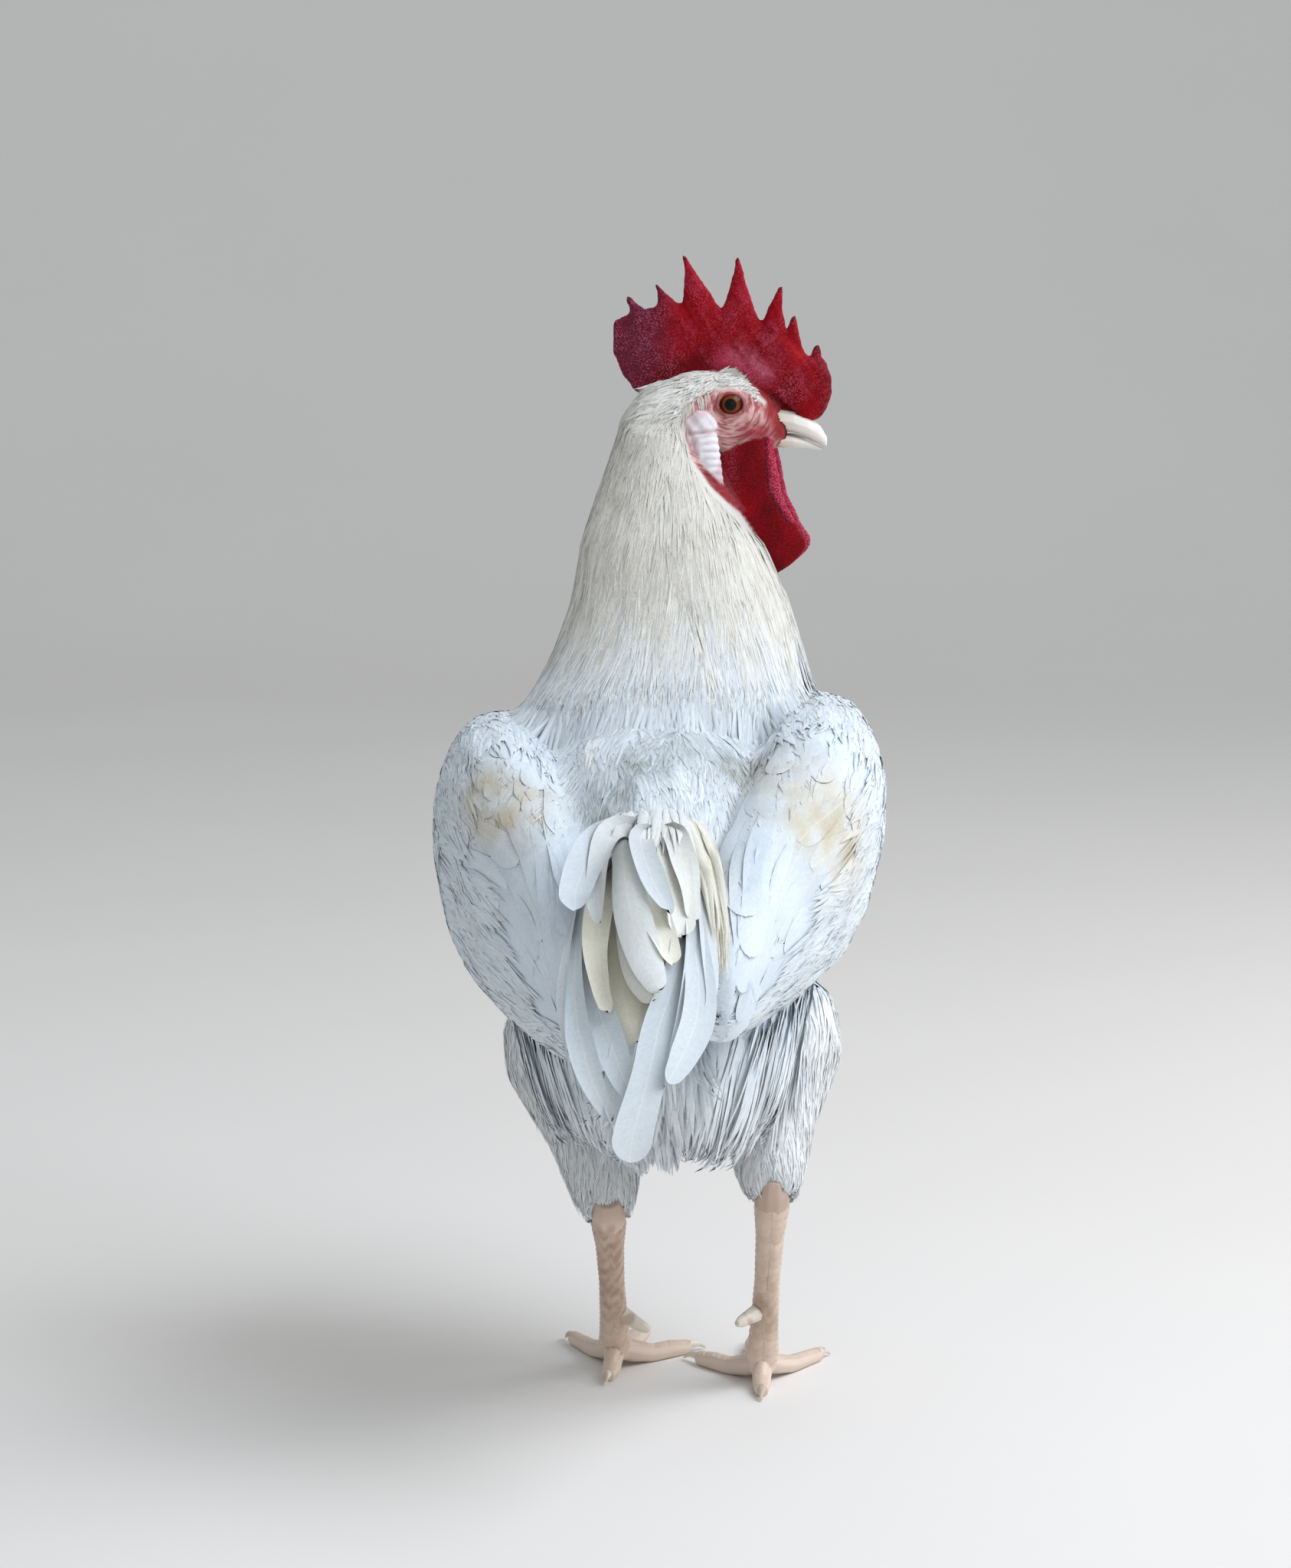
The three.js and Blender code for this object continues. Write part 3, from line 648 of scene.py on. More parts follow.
push -= lobe * 1.2 * bump_at(line_gap(x, z, *LOBE_NOTCH), 0, 0.9)
push -= lobe * 0.9 * bump_at(line_gap(x, z, *LOBE_CREASE), 0, 0.8)
skin_points = skin_points + skin_normals * push[:, None]
# Inside the opening of the lids the skin sinks until it lies behind the surface of the eyeball.
sunk = ramp(-opening, -1.12, -0.92) * (np.abs(y) > 8)
ball = EYE_SIDE + np.sqrt(np.maximum(EYE_RADIUS**2 - around_eye**2, 0)) - BEHIND_BALL
y = np.sign(y) * (np.abs(y) + (np.minimum(ball, np.abs(y)) - np.abs(y)) * sunk)
moved = in_head(skin_points)
h = np.stack([moved[:, 0], np.where(sunk > 0, y, moved[:, 1]), moved[:, 2]], 1)
skin_points = out_of_head(h)
print("folds reach from", push.min().round(2), "to", push.max().round(2), "mm")

# %% [markdown]
# ## Markings
# The bird is white, but no white bird is one colour. The neck hackle is creamy, and its cream is painted
# a little darker as painted shade; the back and wings are painted with a cool cast of sky light; dust and
# grass have stained the saddle grey-green and the wing bows tan, and the fluff between the legs is greyer.
# One function gives this colour anywhere on the plumage, for the skin below and the feathers above, so
# both carry the same markings.

# %% Where the plumage is stained
# Painted light: the cool white is a painted cool cast of sky light, and the neck's cream is darkened as
# painted shade.
SKY_TINTED_WHITE = linear("#deeaf4")
CREAM_WITH_PAINTED_SHADE = linear("#dcdcd4")
GREY_DOWN = linear("#e6ebee")
GRASS_STAIN, EARTH_STAIN, OIL_STAIN = "#7f8f8a", "#cdc4aa", "#dccb9f"
STAINS = [
    # middle on the bird, reach, colour, strength
    ((-6, -72, 313), (13, 24, 11), GRASS_STAIN, 0.60),
    ((40, -54, 307), (16, 24, 12), GRASS_STAIN, 0.70),
    ((15, -54, 318), (17, 22, 10), GRASS_STAIN, 0.40),
    ((-25, -98, 296), (13, 22, 14), GRASS_STAIN, 0.65),
    ((62, -70, 303), (20, 28, 16), EARTH_STAIN, 0.65),
    ((74, -102, 292), (22, 30, 18), EARTH_STAIN, 0.85),
    ((88, -90, 278), (15, 28, 22), EARTH_STAIN, 0.70),
    ((-69, -94, 295), (20, 28, 16), EARTH_STAIN, 0.80),
    ((-82, -74, 300), (14, 26, 18), EARTH_STAIN, 0.60),
    ((4, -150, 262), (20, 28, 28), OIL_STAIN, 0.60),
]


def marking(points):
    """The linear colour of the plumage at places in millimetres on the bird, with painted sky light and
    shade.
    """
    x, y, z = points[..., 0], points[..., 1], points[..., 2]
    strands = 14 * wobble(points * (1, 0.25, 0.25), 5)
    # Painted light: a cool cast of sky light on the lower plumage, and a cream darkened as painted shade on
    # the neck.
    colour = blend(SKY_TINTED_WHITE, CREAM_WITH_PAINTED_SHADE, ramp(z + 0.25 * y + strands, 318, 392))
    colour = blend(colour, GREY_DOWN, 0.7 * ramp(-z, -210, -150))
    patchy = 0.5 + 0.5 * wobble(points, 9)
    for middle, reach, tint, strength in STAINS:
        near = np.exp(-(((points - middle) / reach) ** 2).sum(-1))
        colour = blend(colour, linear(tint), np.clip(near * strength * (0.45 + patchy), 0, 1))
    return colour * (1 + 0.035 * wobble(points, 17))[..., None]


print("neck", marking(np.array([0.0, 60, 400])).round(2), "back", marking(np.array([0.0, -30, 325])).round(2))

# %% [markdown]
# ## Colours of the bare skin
# The comb and wattles are red because blood runs close under thin skin: bright where the comb is thick,
# purplish at its cold rear blade, pinker where the skin is dry. The face is pink with red creases, and
# the gape dark red. The earlobe is white. The shanks of a Leghorn are pale, and brown behind with dirt.

# %% Colour the skin
CRIMSON = linear("#9c0012")
BLOOD = linear("#660008")
ROSE = linear("#c2405e")
PURPLE = linear("#61233a")
PINK = linear("#e2b9b6")
CREASE = linear("#b05c60")
GAPE_RED = linear("#a01c34")
JAW_RED = linear("#8c1424")
LID_RED = linear("#8a3430")
LID_EDGE = linear("#4a1512")
FOLD_PINK = linear("#cf7d92")
TIP_BROWN = linear("#3a1216")
WATTLE_DARK = linear("#74000a")
WATTLE_RED = linear("#980014")
WATTLE_FRONT = linear("#b82a4a")
WATTLE_REAR = linear("#8c1c2c")
WATTLE_CREASE_SHADE = linear("#3a0004")
THROAT_RED = linear("#6a0a16")
LOBE_WHITE = linear("#f5f3f6")
LOBE_PINK = linear("#c79aa4")
LOBE_DULL = linear("#dcd2d6")
LOBE_SHADOW = linear("#a9a0ac")
SHANK_PINK = linear("#dccabc")
SHANK_BROWN = linear("#8a6244")
HOCK_PINK = linear("#b6998b")

h = in_head(skin_points)
x, y, z = h.T
grain = 0.5 + 0.5 * wobble(h, 1.6)
cloud = 0.5 + 0.5 * wobble(h, 8)
rear = ramp(-x, 24, 44)
comb_colour = blend(CRIMSON, BLOOD, 0.55 * cloud * ramp(x, -30, -10) * ramp(-z, -52, -30))
comb_colour = blend(comb_colour, PURPLE, rear * (0.7 + 0.25 * cloud))
comb_colour = blend(comb_colour, BLOOD, 0.85 * bump_at(line_gap(x, z, (-40, 12), (-16, 21)), 0, 6))
comb_colour = blend(comb_colour, ROSE, 0.3 * ramp(grain * cloud, 0.3, 0.6) * (1 - rear))
speckle = 0.4 + 0.5 * rear + 0.6 * bump_at(line_gap(x, z, (2, 20), (36, 2)), 0, 7) * (z > 0)
speckle = speckle * (0.55 + 0.45 * wobble(h, 7))
comb_colour = blend(comb_colour, ROSE, 0.75 * bump_at(line_gap(x, z, (-4, 22), (16, 15)), 0, 5))
folds = bump_at(line_gap(x, z, (2, 26), (17, 15)), 0, 4.5) * ramp(wobble(h * (1, 1, 2.2), 1.5), -0.4, 0.6)
comb_colour = blend(comb_colour, FOLD_PINK, 0.55 * folds)
# Painted shade: the fold of the comb over the nostrils, just above the beak, is painted dark blood red.
comb_colour = blend(comb_colour, BLOOD, 0.9 * bump_at(line_gap(x, z, (19, 4), (30, -5)), 0, 2.6))
comb_colour = blend(comb_colour, BLOOD, 0.6 * ramp(x, 40, 46))
tips = np.array([(spike[3], spike[4]) for spike in COMB_SPIKES])
to_tip = np.min([np.hypot(x - a, z - b) for a, b in tips], axis=0)
comb_colour = blend(comb_colour, TIP_BROWN, 0.75 * ramp(-to_tip, -4.5, -1))
around_eye = np.hypot(x, z)
opening = np.hypot(x / LID_OPENING[0], z / LID_OPENING[1])
face_colour = blend(PINK, CREASE, 0.4 * ramp(wobble(h * (1, 1, 1.6), 2.2), -0.2, 0.7))
face_colour = blend(face_colour, ROSE, 0.5 * ramp(-x, 5, 18) * ramp(z, -14, 0))
face_colour = blend(face_colour, GAPE_RED, 0.9 * bump_at(np.hypot((x - 13) / 9, (z + 14) / 5), 0, 1))
face_colour = blend(face_colour, CRIMSON, 0.9 * ramp(x + 0.5 * z, 11, 17))
face_colour = blend(face_colour, JAW_RED, 0.9 * ramp(-z + 0.25 * x, 24, 31))
face_colour = blend(face_colour, LID_RED, 0.7 * ramp(-opening, -1.65, -1.3) * (np.abs(y) > 8))
face_colour = blend(face_colour, LID_EDGE, 0.8 * ramp(-opening, -1.15, -0.98) * (np.abs(y) > 8))
wattle_colour = blend(WATTLE_DARK, WATTLE_RED, 0.8 * cloud)
strip = ramp(x - wattle_fold(z), -0.3, 0.8)
rear_band = ramp(-x + np.interp(-z, [20, 48, 62, 88], [1, 3, 9, 20]), -3, 1)
wattle_colour = blend(wattle_colour, WATTLE_FRONT, strip * 0.75)
wattle_colour = blend(wattle_colour, WATTLE_REAR, 0.5 * rear_band)
speckle = np.where(wattle, np.maximum(strip, 0.35 * rear_band + 0.05), speckle)
# Painted shade: the crease where a wattle's smooth rear meets its pebbly strip is painted almost black.
wattle_colour = blend(wattle_colour, WATTLE_CREASE_SHADE, 0.8 * bump_at(x, wattle_fold(z), 0.7))
far = y > 0  # the side that the head turns away is paler and more pebbly in front
wattle_colour = np.where(far[:, None], blend(wattle_colour, ROSE, 0.55), wattle_colour)
speckle = np.where(far & wattle, 0.9, speckle)
lobe_rim = np.hypot((x + 14 - 0.22 * (z + 26)) / 9.8, (z + 26) / 23)
lobe_colour = blend(LOBE_WHITE, LOBE_PINK, 0.6 * ramp(lobe_rim, 0.86, 1.04))
lobe_colour = blend(lobe_colour, LOBE_DULL, 0.5 * ramp(z, -14, -11))
in_wrinkle = lobe_wrinkles(h) * ramp(-z, 13, 15)
lobe_colour = blend(lobe_colour, LOBE_SHADOW, 0.75 * in_wrinkle * ramp(x + 0.25 * z, -22, -17))
lobe_colour = blend(lobe_colour, LOBE_PINK, 0.8 * bump_at(line_gap(x, z, *LOBE_NOTCH), 0, 0.9))
lobe_colour = blend(lobe_colour, LOBE_PINK, 0.7 * bump_at(line_gap(x, z, *LOBE_CREASE), 0, 0.9))
flushed = ramp(wobble(h, 3.4), -0.35, -0.75) * ramp(-x - 0.25 * z, 18, 21)
lobe_colour = blend(lobe_colour, LOBE_PINK, 0.6 * flushed)
back_of_leg = ramp(-skin_normals[:, 1], 0.1, 0.8)
blotch = ramp(wobble(skin_points, 5), -0.4, 0.8)
height = skin_points[:, 2]
dirty = back_of_leg * blotch * ramp(height, 14, 30) * ramp(-height, -95, -80)
leg_colour = blend(SHANK_PINK, SHANK_BROWN, 0.55 * dirty)
leg_colour = blend(leg_colour, HOCK_PINK, 0.6 * ramp(height, 82, 96))

white_skin = marking(skin_points) * 0.94
skin_colour = white_skin
for names, colours in (
    (("head",), face_colour),
    (("comb",), comb_colour),
    (("wattle_left", "wattle_right"), wattle_colour),
    (("earlobe_left", "earlobe_right"), lobe_colour),
    (("shank_left", "shank_right", "foot_left", "foot_right"), leg_colour),
):
    skin_colour = np.where(is_part(*names)[:, None], colours, skin_colour)
under_coat = is_part("head") * ramp(feathered(skin_points), -0.8, 0.8)
skin_colour = blend(skin_colour, white_skin, under_coat)
# The bare skin goes on down both sides of the throat, as far as the wattles hang.
bare_neck = (region == 0) & (feathered(skin_points) < 0) & (z > -96) & (around_eye < 105)
bare_neck &= (z > -60) | (np.abs(y) > 7)
throat_colour = blend(wattle_colour, THROAT_RED, 0.5 * cloud)
skin_colour = np.where(bare_neck[:, None], throat_colour, skin_colour)
speckle = np.where(bare_neck, 0.12, speckle)
red = comb | wattle | bare_neck
kinds = np.stack([red, is_part("head") * (1 - under_coat), red * speckle.clip(0, 1)], 1)
kinds = np.stack([spread(kinds[:, k].astype(float), skin_mesh, 2) for k in range(3)], 1)
skin_colour = np.stack([spread(skin_colour[:, k], skin_mesh, 1) for k in range(3)], 1)
# The creases of the cheek run round the eye: across them in X, along them in Y, in metres.
crease_way = np.stack([around_eye, np.arctan2(z, x) * 9, y], 1) * MM


def colour_layer(mesh, name, colours):
    layer = mesh.color_attributes.new(name, "FLOAT_COLOR", "POINT")
    filled = np.ones((len(colours), 4), np.float32)
    filled[:, :3] = colours
    layer.data.foreach_set("color", filled.ravel())


print("skin colours:", skin_colour.min(0).round(2), "to", skin_colour.max(0).round(2))

# %% [markdown]
# ## The skin's material
# Living skin is soft and lets light in a little way, so it has some subsurface scattering. The comb and
# wattles are covered in papillae under a millimetre across, and the face in fine creases: both are a
# relief of cells and stretched noise at those sizes, mixed by the region the skin belongs to.


# %% Skin with papillae and creases
PAPILLA = 0.85  # millimetres across
CREASE_GAP = 1.5


def skin_material():
    material, tree, surface = new_material("bare poultry skin")
    place = add(tree, "NewGeometry").outputs["Position"]
    colour = add(tree, "Attribute", attribute_name="Tint").outputs["Color"]
    kind = add(tree, "Attribute", attribute_name="Kind").outputs["Color"]
    parts = add(tree, "SeparateColor", {"Color": kind})
    noise = add(tree, "TexNoise", {"Vector": place, "Scale": 1 / (2.5 * MM), "Detail": 2.0})
    reach = (1.6 * MM,) * 3  # how far the noise pulls the cells out of their rows
    pulled = {0: noise.outputs["Color"], 1: reach, 2: place}
    moved = add(tree, "VectorMath", pulled, operation="MULTIPLY_ADD").outputs[0]
    cells = add(tree, "TexVoronoi", {"Vector": moved, "Scale": 1 / (PAPILLA * MM), "Randomness": 1.0})
    from_middle = cells.outputs["Distance"]
    papillae = add(tree, "MapRange", {"Value": from_middle, "From Max": 0.8, "To Min": 1.0, "To Max": 0.0})
    way = add(tree, "Attribute", attribute_name="CreaseWay").outputs["Vector"]
    stretched = add(tree, "VectorMath", {0: way, 1: (1.0, 0.22, 0.5)}, operation="MULTIPLY").outputs[0]
    creases = {"Vector": stretched, "Scale": 1 / (CREASE_GAP * MM), "Detail": 3.0, "Distortion": 0.6}
    creased = add(tree, "TexNoise", creases)
    coarse = add(tree, "TexNoise", {"Vector": place, "Scale": 1 / (4 * MM), "Detail": 3.0})
    comb_part = add(tree, "Math", {0: papillae.outputs[0], 1: parts.outputs["Red"]}, operation="MULTIPLY")
    face_part = add(tree, "Math", {0: creased.outputs[0], 1: parts.outputs["Green"]}, operation="MULTIPLY")
    height = add(tree, "Math", {0: comb_part.outputs[0], 1: face_part.outputs[0]}, operation="ADD")
    height = add(tree, "Math", {0: height.outputs[0], 1: coarse.outputs[0]}, operation="ADD")
    relief = add(tree, "Bump", {"Strength": 0.4, "Distance": 0.3 * MM, "Height": height.outputs[0]})
    bump = papillae.outputs[0]
    shade = add(tree, "MapRange", {"Value": bump, "From Min": 0.2, "To Min": 0.78, "To Max": 1.12})
    shade = add(tree, "Mix", {0: parts.outputs["Red"], 2: 1.0, 3: shade.outputs[0]}, data_type="FLOAT")
    shaded = {0: 1.0, 6: colour, 7: shade.outputs[0]}
    tint = add(tree, "Mix", shaded, data_type="RGBA", blend_type="MULTIPLY")
    tips = add(tree, "MapRange", {"Value": bump, "From Min": 0.35, "From Max": 0.85, "To Max": 0.85})
    tips = add(tree, "Math", {0: tips.outputs[0], 1: parts.outputs["Blue"]}, operation="MULTIPLY")
    tint = add(tree, "Mix", {0: tips.outputs[0], 6: tint.outputs[2], 7: rgba("#cf6d86")}, data_type="RGBA")
    deep = {"Value": creased.outputs[0], "From Min": 0.42, "From Max": 0.56, "To Min": 0.75, "To Max": 0.0}
    crease = add(tree, "MapRange", deep)
    crease = add(tree, "Math", {0: crease.outputs[0], 1: parts.outputs["Green"]}, operation="MULTIPLY")
    tint = add(tree, "Mix", {0: crease.outputs[0], 6: tint.outputs[2], 7: rgba("#8f3034")}, data_type="RGBA")
    tree.links.new(tint.outputs[2], surface.inputs["Base Color"])
    tree.links.new(relief.outputs[0], surface.inputs["Normal"])
    surface.inputs["Roughness"].default_value = 0.62
    surface.inputs["IOR"].default_value = 1.4
    surface.inputs["Specular IOR Level"].default_value = 0.16
    surface.inputs["Subsurface Weight"].default_value = 0.12
    surface.inputs["Subsurface Radius"].default_value = (1.0, 0.35, 0.25)
    surface.inputs["Subsurface Scale"].default_value = 1.2 * MM
    return material


SKIN = skin_material()
skin_mesh.vertices.foreach_set("co", in_frame(skin_points).astype(np.float32).ravel())
colour_layer(skin_mesh, "Tint", skin_colour)
colour_layer(skin_mesh, "Kind", kinds)
colour_layer(skin_mesh, "CreaseWay", crease_way)
skin_mesh.shade_smooth()
skin_mesh.update()
FLESH = [name for name in PLUMED if name != "head"] + BARE
skin = show("skin", skin_mesh, [SKIN], FLESH)
skin_points, skin_normals = mesh_arrays(skin_mesh)
SKIN_SURFACE = Surface(skin_points, face_corners(skin_mesh), skin_normals)
print("skin triangles:", len(SKIN_SURFACE.normals))

# %% [markdown]
# ## Eyes
# A fowl's eye shows little but the iris: orange-brown with finer darker spokes, round a black pupil. Each
# eye is turned on a lathe about the line it looks along, with the rings packed closely where one colour
# meets the next, and a slightly steeper cornea. A clear coat gives the wet gleam.


# %% Turn the eyes
def grid_faces(rows, columns, wrapped=False):
    """Squares between rows and columns of corners; wrapped closes each row into a ring."""
    across = columns if wrapped else columns - 1
    row, column = np.meshgrid(np.arange(rows - 1), np.arange(across), indexing="ij")
    first = (row * columns + column).ravel()
    second = (row * columns + (column + 1) % columns).ravel()
    return np.stack([first, second, second + columns, first + columns], 1)


PUPIL, IRIS = 2.9, 5.5
RINGS = [0.02, 0.8, 1.6, 2.3, 2.8, 2.95, 3.1, 3.5, 4.0, 4.5, 5.0, 5.3, 5.5, 5.65, 5.9, 6.3, 6.7, 6.9, 6.99]


def eye_mesh(name, side):
    spokes = 96
    rings = np.array(RINGS)
    bulge = 0.45 * np.clip(1 - (rings / IRIS) ** 2, 0, 1)
    reach = np.sqrt(EYE_RADIUS**2 - rings**2) + bulge
    turn = np.linspace(0, 2 * np.pi, spokes, endpoint=False)
    r, t = np.meshgrid(rings, turn, indexing="ij")
    local = np.stack([r * np.cos(t), side * (EYE_SIDE + reach[:, None] + 0 * t), r * np.sin(t)], -1)
    points = out_of_head(local.reshape(-1, 3))
    mesh = new_mesh(name, points, grid_faces(len(rings), spokes, wrapped=True)[:, :: int(side)])
    spoke = 0.5 + 0.5 * np.sin(31 * t + 3 * np.sin(5 * t)) * np.sin(17 * t + 1)
    colour = blend(linear("#74300f"), linear("#421706"), spoke * 0.6)
    colour = blend(colour, linear("#8e4c1a"), 0.4 * bump_at(r, 3.5, 0.5))
    colour = blend(colour, linear("#2c0d05"), ramp(r, 4.3, 5.2))
    colour = blend(np.full(colour.shape, 0.002), colour, ramp(r, PUPIL - 0.05, PUPIL + 0.15))
    colour_layer(mesh, "Tint", colour.reshape(-1, 3))
    return mesh


def eye_material():
    material, tree, surface = new_material("wet eye")
    colour = add(tree, "Attribute", attribute_name="Tint").outputs["Color"]
    tree.links.new(colour, surface.inputs["Base Color"])
    surface.inputs["Roughness"].default_value = 0.6
    surface.inputs["Specular IOR Level"].default_value = 0.05
    surface.inputs["Coat Weight"].default_value = 0.5
    surface.inputs["Coat Roughness"].default_value = 0.03
    surface.inputs["Coat IOR"].default_value = 1.376
    return material


EYE = eye_material()
for name, side in (("eye_right", -1), ("eye_left", 1)):
    piece = show(name + "_ball", eye_mesh(name + "_ball", side), [EYE], [name])
print("iris", 2 * IRIS, "mm across, pupil", 2 * PUPIL, "mm")

# %% [markdown]
# ## Beak, claws and spurs
# These are keratin: a smooth bone-coloured horn with faint lengthwise growth lines, clearer towards the
# tips. The solids' facets are rounded on a fine grid, and the colour runs from yellowish at the base to
# pale at the tip, with a dark line along the mouth.


# %% Horn pieces
def horn_material():
    material, tree, surface = new_material("keratin horn")
    place = add(tree, "NewGeometry").outputs["Position"]
    colour = add(tree, "Attribute", attribute_name="Tint").outputs["Color"]
    lines = add(tree, "TexNoise", {"Vector": place, "Scale": 1 / (1.1 * MM), "Detail": 5.0})
    shade = add(tree, "MapRange", {"Value": lines.outputs[0], "To Min": 0.86, "To Max": 1.08})
    shaded = {0: 1.0, 6: colour, 7: shade.outputs[0]}
    tint = add(tree, "Mix", shaded, data_type="RGBA", blend_type="MULTIPLY")
    relief = add(tree, "Bump", {"Strength": 0.25, "Distance": 0.15 * MM, "Height": lines.outputs[0]})
    tree.links.new(tint.outputs[2], surface.inputs["Base Color"])
    tree.links.new(relief.outputs[0], surface.inputs["Normal"])
    surface.inputs["Roughness"].default_value = 0.38
    surface.inputs["IOR"].default_value = 1.55
    surface.inputs["Subsurface Weight"].default_value = 0.1
    surface.inputs["Subsurface Scale"].default_value = 1.0 * MM
    return material


HORN = horn_material()
HORN_PIECES = [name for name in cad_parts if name.startswith(("beak_", "claw_", "spur_"))]
for name in HORN_PIECES:
    voxel, swell = (0.5, 0.32) if name.startswith("beak_") else (0.6, 0.15)
    mesh = fused(name, *solid_arrays([name]), voxel=voxel, swell=swell, rounds=3)
    places, _ = mesh_arrays(mesh)
    along = in_head(places)
    colour = np.broadcast_to(linear("#e2d9cb"), places.shape)
    if name.startswith("beak_"):
        colour = blend(colour, linear("#d8c7b4"), 0.6 * ramp(-along[:, 0], -27, -18))
        colour = blend(colour, linear("#f4f0ea"), 0.8 * ramp(along[:, 0], 24, 36))
        mouth = -13 - 0.16 * (along[:, 0] - 14) - 0.010 * np.maximum(along[:, 0] - 24, 0) ** 2
        colour = blend(colour, linear("#6a4a3c"), 0.8 * bump_at(along[:, 2], mouth, 0.7))
    else:
        colour = blend(colour, linear("#9a7458"), 0.5 * ramp(wobble(places, 5), -0.2, 0.7))
    colour_layer(mesh, "Tint", colour)
    mesh.shade_smooth()
    piece = show(name + "_horn", mesh, [HORN], [name])
print("horn pieces:", len(HORN_PIECES))

# %% [markdown]
# ## Scales of the shanks and toes
# A fowl's leg wears large overlapping plates down the front of the shank and along the top of each toe,
# two narrower rows behind, and small plates at the sides. Each plate is a small curved sheet laid on the
# skin, a little thicker at its lower edge, and the rows are loops along each limb's middle line.

# %% Lay the plates
LEGS = {
    "left": {"side": -1, "hock": (-24, -40, 92), "foot": (-21, 13, 12), "turn": 16},
    "right": {"side": 1, "hock": (55, -44, 102), "foot": (51, -14, 12), "turn": -6},
}
TOES = [(-34, 47), (3, 64), (40, 52), (188, 24)]  # heading outward from straight ahead, and length
PLATE_PINK = linear("#d9c3b0")
PLATE_ROWS = [
    # middle of the row round the limb, half its spread, plates along the limb
    (0, 52, 17),
    (152, 27, 19),
    (208, 27, 19),
    (78, 24, 25),
    (282, 24, 25),
    (112, 13, 30),
    (248, 13, 30),
]


def plates(start, end, front, rows, radius, cover=1.25):
    """Corners of overlapping plates round a limb, as an array of plates by 5 by 5 by place."""
    start, end = np.array(start, float), np.array(end, float)
    axis = unit(end - start)
    ahead = unit(front - axis * (front @ axis))
    aside = np.cross(axis, ahead)
    all_plates = []
    for middle, half, count in rows:
        step = 1 / count
        along = np.arange(count)[:, None, None] * step + np.linspace(0, step * cover, 5)[None, :, None]
        u = np.linspace(-1, 1, 5)[None, None, :]
        turn = np.radians(middle + half * u) + 0 * along
        along = along - 0.25 * step * u**2
        out = np.cos(turn)[..., None] * ahead + np.sin(turn)[..., None] * aside
        centre = start + along[..., None] * (end - start)
        place, normal = SKIN_SURFACE.nearest(centre + out * radius)
        share = np.linspace(0, 1, 5)[None, :, None]
        lift = 0.05 + 0.5 * share**0.7 * (1 - 0.75 * u**4) - 0.55 * (share > 0.95)
        all_plates.append(place + normal * (lift + 0 * along)[..., None])
    return np.concatenate(all_plates)


def sheets(name, grids, colours):
    """One mesh from an array of sheets by rows by columns by place, with a colour at each corner."""
    count, rows, columns, _ = grids.shape
    faces = grid_faces(rows, columns)
    faces = (faces[None] + (np.arange(count) * rows * columns)[:, None, None]).reshape(-1, 4)
    mesh = new_mesh(name, grids.reshape(-1, 3), faces)
    colour_layer(mesh, "Tint", colours.reshape(-1, 3))
    return mesh


for name, leg in LEGS.items():
    foot, hock = np.array(leg["foot"], float), np.array(leg["hock"], float)
    top, bottom = hock + (foot - hock) * 0.06, foot + (hock - foot) * 0.02
    grids = [plates(top, bottom, np.array([0, 1.0, 0]), PLATE_ROWS, 8)]
    for heading, reach in TOES:
        turn = np.radians(leg["side"] * heading + leg["turn"])
        ahead = np.array([np.sin(turn), np.cos(turn), 0])
        first, last = foot + ahead * 5 - UP * 3, foot * (1, 1, 0) + UP * 4 + ahead * reach
        grids.append(plates(first, last, UP, [(0, 62, max(4, int(reach / 4.2)))], 6))
    grids = np.concatenate(grids)
    behind = ramp(foot[1] + 4 - grids[..., 1] - 0.55 * (grids[..., 2] - 12), -4, 6)
    dirt = 0.4 + 0.6 * ramp(wobble(grids, 3.2) + 0.5 * wobble(grids, 11), -0.6, 0.9)
    colours = blend(PLATE_PINK, SHANK_BROWN, 0.65 * dirt * ramp(grids[..., 2], 14, 45) * behind)
    colours = colours * (0.92 + 0.16 * np.random.default_rng(3).random((len(grids), 1, 1, 1)))
    piece = show("scales_" + name, sheets("scales_" + name, grids, colours), [HORN])
    print("scales on the", name, "leg:", len(grids))

# %% [markdown]
# ## What a feather is made of
# Every feather here is one thin curved sheet: a middle line (the spine) and a few columns each side. The
# sheet is cambered so its edges press on the feathers below, and its end is a little ragged, because the
# barbs of a worn feather part. One map, Vane, carries each corner's real distance from the shaft and from
# the quill in millimetres, so that the barbs can be drawn at one size everywhere. A second, OFBake, gives
# each feather its own small patch near its root's place on an unwrapped body.


# %% The shape of a feather
def stations(rows):
    """Where the rows of a sheet lie along a feather: closer together towards its tip, which is rounded."""
    return 1 - (1 - np.linspace(0, 1, rows)) ** 1.5


def width_share(along, belly, point):
    """The half width of a feather along its length: round at the end for point 0, and pointed for 1."""
    rise = np.clip(along / belly, 0.02, 1) ** 0.55
    rest = np.clip((along - belly) / (1 - belly), 0, 1)
    round_end = np.sqrt(1 - rest**2.4)
    sharp_end = (1 - rest) ** 0.85
    return rise * np.where(along > belly, round_end * (1 - point) + sharp_end * point, 1)


